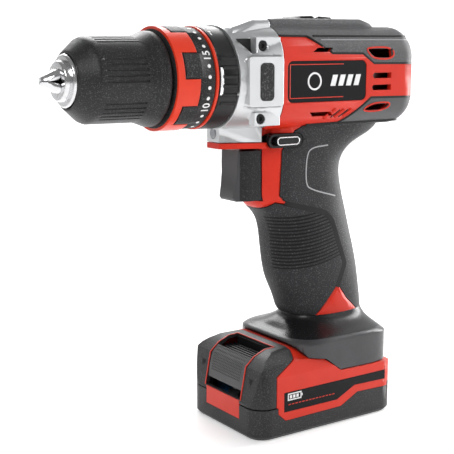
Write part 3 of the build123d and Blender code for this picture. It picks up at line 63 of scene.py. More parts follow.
def finish_of(name, colour, roughness, grain, depth, mottle=0.15, metallic=0.0, edge=0.0003, coat=0.0,
              specular=0.3, speck=0.0):
    """Moulded, cast or ground surface: grain with bright peaks, uneven colour and gloss, broken edges."""
    finish = bpy.data.materials.new(name)
    finish.use_nodes = True
    tree = finish.node_tree
    skin = tree.nodes["Principled BSDF"]
    skin.inputs["Metallic"].default_value = metallic
    skin.inputs["Coat Weight"].default_value = coat
    skin.inputs["Coat Roughness"].default_value = COAT_ROUGHNESS
    skin.inputs["Specular IOR Level"].default_value = specular
    place = tree.nodes.new("ShaderNodeTexCoord")
    broad = tree.nodes.new("ShaderNodeTexNoise")
    broad.inputs["Scale"].default_value = BROAD_SCALE
    broad.inputs["Detail"].default_value = 3.0
    tree.links.new(place.outputs["Object"], broad.inputs["Vector"])
    tint = tree.nodes.new("ShaderNodeMix")
    tint.data_type = "RGBA"
    tint.inputs["A"].default_value = [c * (1 - mottle) for c in colour] + [1]
    tint.inputs["B"].default_value = [min(1.0, c * (1 + mottle)) for c in colour] + [1]
    tree.links.new(broad.outputs["Fac"], tint.inputs["Factor"])
    peaks = tree.nodes.new("ShaderNodeMapRange")
    peaks.inputs["From Min"].default_value, peaks.inputs["From Max"].default_value = GRAIN_PEAKS
    peaks.inputs["To Max"].default_value = speck
    bright = tree.nodes.new("ShaderNodeMix")
    bright.data_type = "RGBA"
    bright.inputs["B"].default_value = [min(1.0, c * 2 + 0.12) for c in colour] + [1]
    tree.links.new(peaks.outputs["Result"], bright.inputs["Factor"])
    tree.links.new(tint.outputs["Result"], bright.inputs["A"])
    tree.links.new(bright.outputs["Result"], skin.inputs["Base Color"])
    gloss = tree.nodes.new("ShaderNodeMapRange")
    gloss.inputs["To Min"].default_value = roughness * 0.85
    gloss.inputs["To Max"].default_value = min(1.0, roughness * 1.15)
    fine = tree.nodes.new("ShaderNodeTexNoise")
    fine.inputs["Scale"].default_value = 1 / grain
    fine.inputs["Detail"].default_value = 2.0
    tree.links.new(place.outputs["Object"], fine.inputs["Vector"])
    tree.links.new(fine.outputs["Fac"], gloss.inputs["Value"])
    tree.links.new(fine.outputs["Fac"], peaks.inputs["Value"])
    tree.links.new(gloss.outputs["Result"], skin.inputs["Roughness"])
    broken = tree.nodes.new("ShaderNodeBevel")
    broken.samples = 4
    broken.inputs["Radius"].default_value = edge
    bump = tree.nodes.new("ShaderNodeBump")
    bump.inputs["Strength"].default_value = 1.0
    bump.inputs["Distance"].default_value = depth
    tree.links.new(fine.outputs["Fac"], bump.inputs["Height"])
    tree.links.new(broken.outputs["Normal"], bump.inputs["Normal"])
    tree.links.new(bump.outputs["Normal"], skin.inputs["Normal"])
    return finish


def object_of(name, form, finish):
    """The mesh as a smooth-shaded object with its finish."""
    mesh = bpy.data.meshes.new(name)
    form.to_mesh(mesh)
    form.free()
    mesh.polygons.foreach_set("use_smooth", [True] * len(mesh.polygons))
    mesh.set_sharp_from_angle(angle=radians(SMOOTH_ANGLE))
    piece = bpy.data.objects.new(name, mesh)
    bpy.context.scene.collection.objects.link(piece)
    mesh.materials.append(finish)
    return piece


def keep_piece(name, form, finish, body):
    """The mesh as a finished object that moves with a body."""
    bmesh.ops.recalc_face_normals(form, faces=form.faces)
    piece = object_of(name, form, finish)
    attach(piece, body)


def shell_of(node, finish):
    """The node's own shell with its triangles joined, so that curved faces shade smoothly."""
    form = bmesh.new()
    form.from_mesh(frame["nodes"][node].data)
    bmesh.ops.remove_doubles(form, verts=form.verts, dist=WELD_DISTANCE)
    bmesh.ops.dissolve_limit(form, angle_limit=radians(FLAT_ANGLE), verts=form.verts, edges=form.edges)
    piece = object_of(node + "_shell", form, finish)
    flat = piece.modifiers.new("flat faces stay flat", "WEIGHTED_NORMAL")
    flat.keep_sharp = True
    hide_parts(node)
    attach(piece, body_of_node[node])


def side_plate(outline, y0, y1):
    """Plate over an outline in the side view."""
    form = bmesh.new()
    face = form.faces.new([form.verts.new((x, y0, z)) for x, z in outline])
    grown = bmesh.ops.extrude_face_region(form, geom=[face])
    lifted = [v for v in grown["geom"] if isinstance(v, bmesh.types.BMVert)]
    bmesh.ops.translate(form, verts=lifted, vec=(0, y1 - y0, 0))
    return form


silver_lacquer = finish_of("silver_lacquer", (0.62, 0.63, 0.64), 0.33, 0.00035, 0.00002, 0.06, 0.75, 0.0004)
shell_of("gear_case", silver_lacquer)
# Painted shade: a near-black plate on each side stands in for the shade in the recess ahead of the upper ear.
recess_painted_shade = finish_of("recess_painted_shade", (0.012, 0.012, 0.013), 0.55, 0.0004, 0.00003)
RECESS_SHADE_OUTLINE = [(-0.0521, AXIS_Z + 0.0177), (-0.0439, AXIS_Z + 0.0179), (-0.0439, AXIS_Z + 0.0115),
          (-0.0456, AXIS_Z + 0.0109)]
for side, hand in BOTH_SIDES:
    keep_piece("case_recess_shade_" + hand, side_plate(RECESS_SHADE_OUTLINE, side * 0.0185, side * 0.0188), recess_painted_shade, "drill")

# ---------------------------------------------------------------------------
# Side pads and work lamp. The pads are moulded rubber, pressed into their
# frames; the lamp is a clear lens over a light-emitting diode in the chin.
# ---------------------------------------------------------------------------

pad_rubber = finish_of("pad_rubber", (0.020, 0.020, 0.021), 0.72, 0.0006, 0.00016, 0.3, speck=0.8)
shell_of("side_pads", pad_rubber)
lamp_lens = finish_of("lamp_lens", (0.30, 0.31, 0.33), 0.12, 0.0008, 0.00001, 0.04, coat=0.6)
shell_of("work_lamp", lamp_lens)

# ---------------------------------------------------------------------------
# Housing halves. Glass-filled nylon, moulded in red with a fine spark grain,
# and closed by six screws from the right side.
# ---------------------------------------------------------------------------

red_nylon = finish_of("red_nylon", (0.60, 0.024, 0.009), 0.40, 0.0004, 0.00003, 0.12, specular=0.25)
shell_of("housing_left", red_nylon)
shell_of("housing_right", red_nylon)
black_oxide = finish_of("black_oxide", (0.018, 0.018, 0.019), 0.35, 0.0005, 0.00002, 0.2, 0.6)
shell_of("housing_screws", black_oxide)

# ---------------------------------------------------------------------------
# Soft skins. Thermoplastic elastomer moulded over the red shell: a grey grained
# one on the top and rear, a darker strap behind the grip, and the front grip.
# ---------------------------------------------------------------------------

GREY = (0.0875, 0.0875, 0.0910)
DARK = (0.0204, 0.0204, 0.0222)
FOLD_Z = 0.1487
grey_elastomer = finish_of("grey_elastomer", GREY, 0.52, 0.0006, 0.00014, 0.22, specular=0.2, speck=0.45)
strap_elastomer = finish_of("strap_elastomer", DARK, 0.52, 0.0006, 0.00014, 0.25, specular=0.2, speck=0.4)
grip_elastomer = finish_of("grip_elastomer", DARK, 0.52, 0.0006, 0.00014, 0.25, specular=0.2, speck=0.4)


def sum_of(tree, kind, first, second):
    """One arithmetic step; either side may be a number or another step's output."""
    step = tree.nodes.new("ShaderNodeMath")
    step.operation = kind
    for socket, value in zip(step.inputs, (first, second)):
        if isinstance(value, (int, float)):
            socket.default_value = value
        else:
            tree.links.new(value, socket)
    return step.outputs["Value"]


def spread_of(tree):
    """X, Y and Z on the piece."""
    place = tree.nodes.new("ShaderNodeTexCoord")
    split = tree.nodes.new("ShaderNodeSeparateXYZ")
    tree.links.new(place.outputs["Object"], split.inputs["Vector"])
    return split.outputs["X"], split.outputs["Y"], split.outputs["Z"]


def paint_where(finish, mask, colour, mottle=0.15):
    """The finish takes another colour where the mask is 1."""
    tree = finish.node_tree
    skin = tree.nodes["Principled BSDF"]
    before = skin.inputs["Base Color"].links[0].from_socket
    broad = tree.nodes.new("ShaderNodeTexNoise")
    broad.inputs["Scale"].default_value = 110.0
    tree.links.new(tree.nodes["Texture Coordinate"].outputs["Object"], broad.inputs["Vector"])
    tint = tree.nodes.new("ShaderNodeMix")
    tint.data_type = "RGBA"
    tint.inputs["A"].default_value = [c * (1 - mottle) for c in colour] + [1]
    tint.inputs["B"].default_value = [c * (1 + mottle) for c in colour] + [1]
    tree.links.new(broad.outputs["Fac"], tint.inputs["Factor"])
    both = tree.nodes.new("ShaderNodeMix")
    both.data_type = "RGBA"
    tree.links.new(mask, both.inputs["Factor"])
    tree.links.new(before, both.inputs["A"])
    tree.links.new(tint.outputs["Result"], both.inputs["B"])
    tree.links.new(both.outputs["Result"], skin.inputs["Base Color"])


def sink_where(finish, mask, depth):
    """The finish is sunk by depth where the mask is 1."""
    tree = finish.node_tree
    skin = tree.nodes["Principled BSDF"]
    before = skin.inputs["Normal"].links[0].from_socket
    bump = tree.nodes.new("ShaderNodeBump")
    bump.invert = True
    bump.inputs["Distance"].default_value = depth
    tree.links.new(mask, bump.inputs["Height"])
    tree.links.new(before, bump.inputs["Normal"])
    tree.links.new(bump.outputs["Normal"], skin.inputs["Normal"])


tree = strap_elastomer.node_tree
x, y, z = spread_of(tree)
paint_where(strap_elastomer, sum_of(tree, "GREATER_THAN", z, FOLD_Z), GREY)

GROOVE_PITCH = 0.00172
GROOVE_DEPTH = 0.0011
GROOVES_LOW_Z = 0.0775
GROOVES_HIGH_Z = 0.1045
GROOVES_CLEAR_Y = 0.0035
tree = grip_elastomer.node_tree
x, y, z = spread_of(tree)
back = sum_of(tree, "ADD", x, 0.020)
level = sum_of(tree, "SUBTRACT", z, sum_of(tree, "MULTIPLY", sum_of(tree, "MULTIPLY", back, back), 4.5))
wave = sum_of(tree, "SINE", sum_of(tree, "MULTIPLY", level, 2 * pi / GROOVE_PITCH), 0)
groove = sum_of(tree, "MULTIPLY", sum_of(tree, "ADD", wave, 0.15), 2.4)
above = sum_of(tree, "GREATER_THAN", level, GROOVES_LOW_Z)
inside_zone = sum_of(tree, "MULTIPLY", above, sum_of(tree, "LESS_THAN", level, GROOVES_HIGH_Z))
off_centre = sum_of(tree, "GREATER_THAN", sum_of(tree, "ABSOLUTE", y, 0), GROOVES_CLEAR_Y)
groove = sum_of(tree, "MULTIPLY", groove, sum_of(tree, "MULTIPLY", inside_zone, off_centre))
groove = sum_of(tree, "MINIMUM", sum_of(tree, "MAXIMUM", groove, 0.0), 1.0)
sink_where(grip_elastomer, groove, GROOVE_DEPTH)
# Painted shade: the sunk grooves are also coloured near-black for the shade in them.
paint_where(grip_elastomer, groove, (0.004, 0.004, 0.004))

for hand in ("left", "right"):
    shell_of("top_cover_" + hand, grey_elastomer)
    shell_of("rear_strap_" + hand, strap_elastomer)
    shell_of("front_grip_" + hand, grip_elastomer)

# ---------------------------------------------------------------------------
# Lines on the skins. Near-black beads are painted shade in the gap between strap
# and grip, in the gaps and folds of the top and rear covers and between the ribs;
# pale beads are painted highlights round the thumb zone and along the top cover's
# step; red rims stand round two vents, and three short ribs stand on the red shell at the rear.
# ---------------------------------------------------------------------------


def skin_of(*names):
    """The shells a bead is laid on, as one tree."""
    points, faces = [], []
    for name in names:
        mesh = bpy.data.objects[name + "_shell"].data
        start = len(points)
        points += [vert.co.copy() for vert in mesh.vertices]
        faces += [[start + i for i in face.vertices] for face in mesh.polygons]
    return BVHTree.FromPolygons(points, faces)


def eased(path, closed=False):
    """The path with its corners cut twice."""
    for _ in range(2):
        ends = [] if closed else [path[0]]
        cut = []
        for (ax, az), (bx, bz) in zip(path, path[1:] + (path[:1] if closed else [])):
            cut.append((ax * 0.75 + bx * 0.25, az * 0.75 + bz * 0.25))
            cut.append((ax * 0.25 + bx * 0.75, az * 0.25 + bz * 0.75))
        path = ends + cut + ([] if closed else [path[-1]])
    return path + path[:1] if closed else path


OUTSIDE_Y = 0.1
BEAD_STEP = 0.0007
BEAD_ROOT = 0.0005


def laid_bead(path, half_w, lift, skin, side):
    """Flat bead that follows a path in the side view over the skin, level across its width."""
    spots = []
    for (ax, az), (bx, bz) in zip(path, path[1:]):
        length = Vector((bx - ax, bz - az)).length
        count = max(1, int(length / BEAD_STEP))
        spots += [(ax + (bx - ax) * k / count, az + (bz - az) * k / count) for k in range(count)]
    spots.append(path[-1])
    form = bmesh.new()
    last = None
    for k, (px, pz) in enumerate(spots):
        before, after = spots[max(0, k - 1)], spots[min(len(spots) - 1, k + 1)]
        along = Vector((after[0] - before[0], after[1] - before[1])).normalized()
        starts = [Vector((px - along.y * reach, side * OUTSIDE_Y, pz + along.x * reach))
                  for reach in (-half_w, half_w, 0.0)]
        hits = [hit for hit in (skin.ray_cast(start, Vector((0, -side, 0)))[0] for start in starts) if hit]
        pair = None
        if hits:
            depth = side * (max(hit.y * side for hit in hits) + lift)
            pair = [form.verts.new((start.x, depth, start.z)) for start in starts[:2]]
        if last and pair:
            form.faces.new((last[0], last[1], pair[1], pair[0]))
        last = pair
    for vert in [v for v in form.verts if not v.link_faces]:
        form.verts.remove(vert)
    grown = bmesh.ops.extrude_face_region(form, geom=form.faces[:])
    lifted = [v for v in grown["geom"] if isinstance(v, bmesh.types.BMVert)]
    bmesh.ops.translate(form, verts=lifted, vec=(0, -side * (abs(lift) + BEAD_ROOT), 0))
    return form


# Painted shade: near-black beads laid in the gaps, folds and grooves of the skins stand in for the shade
# there.
painted_shade_bead = finish_of("painted_shade_bead", (0.006, 0.006, 0.006), 0.5, 0.0005, 0.00002)
# Painted highlight: pale beads round the thumb zone and along the top cover's step stand in for the
# highlights on those edges.
painted_highlight_line = finish_of("painted_highlight_line", (0.34, 0.34, 0.35), 0.35, 0.0005, 0.00002, 0.05)
drill_skin = skin_of("housing_left", "housing_right", "top_cover_left", "top_cover_right",
                     "rear_strap_left", "rear_strap_right", "front_grip_left", "front_grip_right")
BEADS = {
    "grip_gap": ([(-0.0200, 0.1112), (0.0036, 0.1049), (0.0079, 0.1008), (0.01335, 0.08605),
                  (0.0167, 0.07785), (0.0118, 0.0662)], 0.00135, 0.00002, painted_shade_bead),
    "strap_gap": ([(-0.0217, 0.1368), (-0.0223, 0.1148), (-0.0202, 0.1124)], 0.0004, 0.00004, painted_shade_bead),
    "cover_gap": ([(-0.0300, 0.1904), (-0.0141, 0.1902), (-0.0007, 0.1823), (0.0181, 0.1821),
                   (0.0253, 0.1774), (0.0560, 0.1771)], 0.0005, 0.00004, painted_shade_bead),
    "rear_gap": ([(0.0560, 0.1606), (0.0237, 0.1610), (0.0083, 0.1490), (-0.0105, 0.1486)],
                 0.0005, 0.00004, painted_shade_bead),
    "thumb_edge": (eased([(0.0050, 0.1380), (-0.0050, 0.1374), (-0.0080, 0.1340), (-0.0080, 0.1200),
                          (-0.0050, 0.1168), (0.0120, 0.1122)]), 0.00032, 0.00005, painted_highlight_line),
    "top_fold": ([(-0.0100, 0.1903), (0.0520, 0.1903)], 0.00045, 0.00004, painted_shade_bead),
    "top_edge": ([(-0.0060, 0.1886), (0.0510, 0.1886)], 0.00025, 0.00004, painted_highlight_line),
    "rear_fold": ([(0.0090, 0.1487), (0.0560, 0.1487)], 0.0005, 0.00004, painted_shade_bead),
    "rib_groove_a": ([(0.0012, 0.1520), (0.0052, 0.1556)], 0.0003, 0.00004, painted_shade_bead),
    "rib_groove_b": ([(0.0062, 0.1520), (0.0102, 0.1556)], 0.0003, 0.00004, painted_shade_bead),
    "vent_rim_top": (eased([(0.0251, 0.1794), (0.0382, 0.1794), (0.0382, 0.1850), (0.0216, 0.1850),
                            (0.0209, 0.1831)], True), 0.0004, 0.00012, red_nylon),
    "vent_rim_low": (eased([(0.0188, 0.1541), (0.0343, 0.1541), (0.0384, 0.1583), (0.0247, 0.1583)], True),
                     0.0004, 0.00012, red_nylon),
}
for name, (path, half_w, lift, finish) in BEADS.items():
    for side, hand in BOTH_SIDES:
        keep_piece(f"{name}_{hand}", laid_bead(path, half_w, lift, drill_skin, side), finish, "drill")
RIBS = [[(-0.0030, 0.1516), (0.0025, 0.1560)], [(0.0035, 0.1520), (0.0078, 0.1556)],
        [(0.0085, 0.1525), (0.0125, 0.1556)]]
for k, path in enumerate(RIBS):
    for side, hand in BOTH_SIDES:
        rib = laid_bead(path, 0.0006, 0.0004, drill_skin, side)
        keep_piece(f"rear_rib_{hand}_{k}", rib, red_nylon, "drill")

# ---------------------------------------------------------------------------
# Side badges. Gloss black plates let into the housing, with a bracket of red
# pinstripes and a plain printed mark: a ring and four slanted strokes.
# ---------------------------------------------------------------------------

badge_gloss = finish_of("badge_gloss", (0.004, 0.004, 0.005), 0.25, 0.0010, 0.000004, 0.2, specular=0.15)
shell_of("badges", badge_gloss)
pinstripe_red = finish_of("pinstripe_red", (0.62, 0.03, 0.012), 0.35, 0.0005, 0.00001)
print_white = finish_of("print_white", (0.80, 0.80, 0.80), 0.45, 0.0005, 0.00001, 0.05)
BADGE_FACE = 0.02495
RING_RADII = (0.0042, 0.0033)


def bar(x0, x1, z0, z1, slant=0.0):
    return [(x0, z0), (x1, z0), (x1 + slant, z1), (x0 + slant, z1)]


for side, hand in BOTH_SIDES:
    y0, y1 = side * (BADGE_FACE - 0.0001), side * (BADGE_FACE + 0.00012)
    for k, z in enumerate((AXIS_Z - 0.0096, AXIS_Z + 0.0058)):
        stripe = side_plate(bar(-0.0258, 0.0060, z, z + 0.0004), y0, y1)
        keep_piece(f"badge_stripe_{hand}_{k}", stripe, pinstripe_red, "drill")
    stripe = side_plate(bar(-0.0262, -0.0258, AXIS_Z - 0.0096, AXIS_Z + 0.0062), y0, y1)
    keep_piece("badge_front_stripe_" + hand, stripe, pinstripe_red, "drill")
    for k in range(4):
        x = -0.0020 + 0.0048 * k
        stroke = side_plate(bar(x, x + 0.0030, AXIS_Z - 0.0042, AXIS_Z + 0.0010, 0.0016), y0, y1)
        keep_piece(f"badge_stroke_{hand}_{k}", stroke, print_white, "drill")
    ring = bmesh.new()
    for radius in RING_RADII:
        bmesh.ops.create_circle(ring, segments=48, radius=radius)
    bmesh.ops.bridge_loops(ring, edges=ring.edges)
    grown = bmesh.ops.extrude_face_region(ring, geom=ring.faces[:])
    lifted = [v for v in grown["geom"] if isinstance(v, bmesh.types.BMVert)]
    bmesh.ops.translate(ring, verts=lifted, vec=(0, 0, y1 - y0))
    bmesh.ops.rotate(ring, verts=ring.verts, matrix=Matrix.Rotation(radians(-90), 3, "X"))
    bmesh.ops.translate(ring, verts=ring.verts, vec=(-0.0115, y0, AXIS_Z - 0.0018))
    keep_piece("badge_ring_" + hand, ring, print_white, "drill")

# ---------------------------------------------------------------------------
# Mode ring. Black nylon that snaps round the gear case's drum, with a ribbed
# lug, a bright metal bar on its front edge that is a painted highlight, and printed symbols on top.
# ---------------------------------------------------------------------------

ring_nylon = finish_of("ring_nylon", (0.010, 0.010, 0.011), 0.38, 0.0004, 0.00004, 0.2)
shell_of("mode_ring", ring_nylon)


ARC_STEPS = 10


def arc_bar(x0, x1, r0, r1, angle0, angle1):
    """Bar bent round the spindle axis; angle 0 is up and 90 is on the left side."""
    form = bmesh.new()
    section = [form.verts.new((x, 0, AXIS_Z + r)) for x, r in ((x0, r0), (x1, r0), (x1, r1), (x0, r1))]
    tilt = Matrix.Rotation(radians(angle0), 3, "X")
    bmesh.ops.rotate(form, verts=section, cent=(0, 0, AXIS_Z), matrix=tilt)
    face = form.faces.new(section)
    bmesh.ops.spin(form, geom=[face], cent=(0, 0, AXIS_Z), axis=(1, 0, 0), angle=radians(angle1 - angle0),
                   steps=ARC_STEPS)
    return form


# Painted highlight: the bright metal bar on the side of the lug stands in for the highlight along the lug's
# front edge.
painted_highlight_plate = finish_of("painted_highlight_plate", (0.75, 0.75, 0.76), 0.22, 0.0006, 0.000006, 0.05, 0.9)
lug_highlight = arc_bar(-0.0633, -0.0618, 0.0229, 0.02378, 77, 107)
keep_piece("mode_lug_highlight", lug_highlight, painted_highlight_plate, "mode")
for k, (x0, x1, angle0, angle1) in enumerate([(-0.0622, -0.0617, 14, 22), (-0.0612, -0.0607, 14, 19),
                                              (-0.0622, -0.0607, 27, 29), (-0.0618, -0.0612, 30, 35)]):
    keep_piece(f"mode_symbol_{k}", arc_bar(x0, x1, 0.0232, 0.02362, angle0, angle1), print_white, "mode")

# ---------------------------------------------------------------------------
# Accent ring and torque collar. The collar is black nylon with grained lugs
# under a red two-shot castellated band; its scale is pad printed in white.
# ---------------------------------------------------------------------------

red_trim = finish_of("red_trim", (0.70, 0.040, 0.013), 0.36, 0.0005, 0.00002, 0.10)
shell_of("accent_ring", red_trim)
shell_of("torque_collar_band", red_trim)
collar_nylon = finish_of("collar_nylon", (0.014, 0.014, 0.015), 0.52, 0.0006, 0.00012, 0.3, speck=0.5)
shell_of("torque_collar", collar_nylon)

DIAL_R = 0.0229
DIAL_X = -0.0686
DIAL_STEP = 12.0
marks = bmesh.new()
for setting in range(1, 27):
    elevation = 3.0 + DIAL_STEP * (setting - 13)
    turn = Matrix.Rotation(radians(-elevation), 4, "X")
    if setting % 5:
        dot = bmesh.ops.create_circle(marks, cap_ends=True, segments=20, radius=0.00085)["verts"]
        bmesh.ops.rotate(marks, verts=dot, matrix=Matrix.Rotation(radians(90), 3, "X"))
        bmesh.ops.translate(marks, verts=dot, vec=(DIAL_X, -DIAL_R - 0.00006, 0))
        bmesh.ops.transform(marks, verts=dot, matrix=turn)
    else:
        words = bpy.data.curves.new("digits", "FONT")
        words.body = str(setting)
        words.size = 0.0052
        words.align_x = "CENTER"
        words.align_y = "CENTER"
        words.offset = 0.00008
        flat = bpy.data.objects.new("digits", words)
        bpy.context.scene.collection.objects.link(flat)
        bpy.context.view_layer.update()
        printed = bpy.data.meshes.new_from_object(flat)
        for vert in printed.vertices:
            around, up = vert.co.x / DIAL_R, vert.co.y
            spot = Vector((DIAL_X - up, -(DIAL_R + 0.00008) * cos(around), (DIAL_R + 0.00008) * sin(around)))
            vert.co = turn @ spot
        marks.from_mesh(printed)
        bpy.data.objects.remove(flat)
bmesh.ops.translate(marks, verts=marks.verts, vec=(0, 0, AXIS_Z))
scale_marks = bpy.data.meshes.new("dial_marks")
marks.to_mesh(scale_marks)
marks.free()
dial_marks = bpy.data.objects.new("dial_marks", scale_marks)
bpy.context.scene.collection.objects.link(dial_marks)
scale_marks.materials.append(print_white)
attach(dial_marks, "collar")

# ---------------------------------------------------------------------------
# Keyless chuck. A glass-filled nylon sleeve with ribs, over a turned and
# chromed steel body; three hardened jaws close on the bit.
# ---------------------------------------------------------------------------

sleeve_nylon = finish_of("sleeve_nylon", (0.014, 0.014, 0.015), 0.42, 0.0005, 0.00010, 0.2, speck=0.45)
shell_of("chuck_sleeve", sleeve_nylon)
chrome = finish_of("chrome", (0.70, 0.70, 0.71), 0.16, 0.0012, 0.000004, 0.04, 1.0)
for node in ("chuck_body", "jaw_a", "jaw_b", "jaw_c"):
    shell_of(node, chrome)

# ---------------------------------------------------------------------------
# Controls. Selector knob, trigger and direction button, moulded in black
# nylon; the button slides through the housing between the two sides.
# ---------------------------------------------------------------------------

control_nylon = finish_of("control_nylon", (0.009, 0.009, 0.010), 0.30, 0.0005, 0.00003, 0.2)
for node in ("speed_selector", "direction_button", "switch_body"):
    shell_of(node, control_nylon)
trigger_nylon = finish_of("trigger_nylon", (0.009, 0.009, 0.010), 0.30, 0.0005, 0.00006, 0.2, speck=0.3)
tree = trigger_nylon.node_tree
x, y, z = spread_of(tree)
# Painted highlight: the trigger's front face is coloured lighter grey for the highlight on it.
flank = sum_of(tree, "MULTIPLY", sum_of(tree, "ABSOLUTE", y, 0), 0.55)
front_highlight_zone = sum_of(tree, "LESS_THAN", sum_of(tree, "ADD", x, flank), -0.0377)
paint_where(trigger_nylon, front_highlight_zone, (0.050, 0.050, 0.053))
shell_of("trigger", trigger_nylon)

BUTTON_Z = 0.1415
GUIDE_Y = (0.0136, 0.0155)
RIM_Y = (0.0170, 0.01735)


def oblong(x0, x1, half_h, y0, y1, hole=0.0):
    """Upright plate with round ends, or its rim if hole gives the rim's width."""
    form = bmesh.new()
    loops = []
    for inset in ([0.0, hole] if hole else [0.0]):
        r = half_h - inset
        ring = bmesh.ops.create_circle(form, segments=32, radius=r)["verts"]
        for vert in ring:
            vert.co.x += (x1 - half_h) if vert.co.x > 0 else (x0 + half_h)
        loops.append(ring)
    if hole:
        bmesh.ops.bridge_loops(form, edges=form.edges[:])
    else:
        form.faces.new(loops[0])
    grown = bmesh.ops.extrude_face_region(form, geom=form.faces[:])
    lifted = [v for v in grown["geom"] if isinstance(v, bmesh.types.BMVert)]
    bmesh.ops.translate(form, verts=lifted, vec=(0, 0, y1 - y0))
    bmesh.ops.rotate(form, verts=form.verts, matrix=Matrix.Rotation(radians(90), 3, "X"))
    bmesh.ops.translate(form, verts=form.verts, vec=(0, y1, BUTTON_Z))
    return form


for side, hand in BOTH_SIDES:
    near, far = sorted(side * y for y in GUIDE_Y)
    guide = oblong(-0.0308, -0.0107, 0.0033, near, far, 0.00115)
    keep_piece("button_guide_" + hand, guide, control_nylon, "drill")
    web = side_plate(bar(-0.0306, -0.0276, 0.1388, 0.1442), side * 0.0128, side * 0.0138)
    keep_piece("button_web_" + hand, web, control_nylon, "drill")
    # Painted highlight: a bright metal oblong rim round each button end stands in for the highlight on the
    # button's edges.
    near, far = sorted(side * y for y in RIM_Y)
    rim = oblong(-0.0272, -0.0138, 0.0020, near, far, 0.0005)
    keep_piece("button_edge_highlight_" + hand, rim, painted_highlight_plate, "direction")

# ---------------------------------------------------------------------------
# Foot. Black gloss nylon, flared from the handle over the battery.
# ---------------------------------------------------------------------------

foot_nylon = finish_of("foot_nylon", (0.009, 0.009, 0.010), 0.26, 0.0006, 0.00005, 0.2)
tree = foot_nylon.node_tree
x, y, z = spread_of(tree)
paint_where(foot_nylon, sum_of(tree, "LESS_THAN", z, 0.0445), (0.055, 0.055, 0.058))
shell_of("foot", foot_nylon)

# ---------------------------------------------------------------------------
# Battery. A black tub and front cap, a red upper shell with the rail block,
# the release button with its ribs, and a printed film on each side.
# ---------------------------------------------------------------------------

tub_plastic = finish_of("tub_plastic", (0.018, 0.018, 0.019), 0.46, 0.0006, 0.00010, 0.25, speck=0.35)
pack_red = finish_of("pack_red", (0.60, 0.026, 0.010), 0.38, 0.0005, 0.00002, 0.10)
shell_of("pack_base", tub_plastic)
shell_of("pack_front_cap", tub_plastic)
shell_of("pack_top", pack_red)
shell_of("pack_screws", black_oxide)
button_nylon = finish_of("button_nylon", (0.070, 0.070, 0.073), 0.40, 0.0005, 0.00003, 0.15)
tree = button_nylon.node_tree
x, y, z = spread_of(tree)
KNURL = 2 * pi / 0.0013
rows = sum_of(tree, "SINE", sum_of(tree, "MULTIPLY", z, KNURL), 0)
columns = sum_of(tree, "SINE", sum_of(tree, "MULTIPLY", sum_of(tree, "ADD", y, z), KNURL), 0)
knurl = sum_of(tree, "MAXIMUM", sum_of(tree, "MULTIPLY", sum_of(tree, "ADD", rows, columns), 0.6), 0.0)
knurl = sum_of(tree, "MULTIPLY", sum_of(tree, "MINIMUM", knurl, 1.0), sum_of(tree, "GREATER_THAN", z, 0.0255))
knurl = sum_of(tree, "MULTIPLY", knurl, sum_of(tree, "LESS_THAN", sum_of(tree, "ABSOLUTE", y, 0), 0.0125))
sink_where(button_nylon, knurl, 0.0005)
# Painted shade: the knurl hollows are also coloured darker than the button for the shade in them.
paint_where(button_nylon, knurl, (0.012, 0.012, 0.012))
shell_of("release_button", button_nylon)
SLAT_PITCH = 0.0022
LOUVRE_WIDTH = 0.0288
louvre = bmesh.new()
slats = [(-0.0376, -0.0272, 0.0352, 0.0357), (-0.0276, -0.0272, 0.0356, 0.0398)]
slats += [(-0.0368 + SLAT_PITCH * k, -0.0360 + SLAT_PITCH * k, 0.0357, 0.0366) for k in range(4)]
for x0, x1, z0, z1 in slats:
    slab = bmesh.ops.create_cube(louvre, size=1.0)["verts"]
    bmesh.ops.scale(louvre, verts=slab, vec=(x1 - x0, LOUVRE_WIDTH, z1 - z0))
    bmesh.ops.translate(louvre, verts=slab, vec=((x0 + x1) / 2, 0, (z0 + z1) / 2))
keep_piece("release_louvre", louvre, control_nylon, "battery")
CAP_LINE = [(-0.04655, 0.0176), (-0.04340, 0.0338), (-0.0386, 0.0380), (-0.0326, 0.0405), (-0.0264, 0.0408),
            (-0.0264, 0.0412), (-0.0327, 0.0409), (-0.0388, 0.0384), (-0.04378, 0.0341), (-0.04695, 0.0176)]
for side, hand in BOTH_SIDES:
    rim = side_plate(CAP_LINE, min(side * 0.0150, side * 0.0156), max(side * 0.0150, side * 0.0156))
    keep_piece("recess_line_" + hand, rim, pack_red, "battery")
cross = side_plate(bar(-0.0270, -0.0264, 0.0407, 0.0412), -0.0156, 0.0156)
keep_piece("recess_line_top", cross, pack_red, "battery")
label_film = finish_of("label_film", (0.005, 0.005, 0.006), 0.30, 0.0008, 0.000005, 0.2, specular=0.15)
LABEL = [(-0.0308, 0.0126), (0.0020, 0.0126), (0.0134, 0.0180), (0.0338, 0.0176), (0.0338, 0.0222),
         (-0.0308, 0.0222)]
LABEL_CELLS = [(-0.0288, -0.0205, 0.0180, 0.0186), (-0.0288, -0.0205, 0.0210, 0.0216),
               (-0.0288, -0.0282, 0.0186, 0.0210), (-0.0211, -0.0205, 0.0186, 0.0210),
               (-0.0204, -0.0198, 0.0192, 0.0204), (-0.0276, -0.0262, 0.0190, 0.0206),
               (-0.0256, -0.0242, 0.0190, 0.0206), (-0.0236, -0.0222, 0.0190, 0.0206)]
DASH_PITCH = 0.0021
for side, hand in BOTH_SIDES:
    film = side_plate(LABEL, side * 0.0291, side * 0.02945)
    keep_piece("pack_label_" + hand, film, label_film, "battery")
    y0, y1 = side * 0.0294, side * 0.02949
    for k, (x0, x1, z0, z1) in enumerate(LABEL_CELLS):
        cell = side_plate(bar(x0, x1, z0, z1), y0, y1)
        keep_piece(f"label_cell_{hand}_{k}", cell, print_white, "battery")
    for k in range(14):
        x0 = -0.0285 + DASH_PITCH * k
        dash = side_plate(bar(x0, x0 + 0.0014, 0.0158, 0.0163, 0.0003), y0, y1)
        keep_piece(f"label_dash_{hand}_{k}", dash, pinstripe_red, "battery")

# ---------------------------------------------------------------------------
# Works inside: steel gears, spindle and bearing, motor, springs and cells.
# ---------------------------------------------------------------------------

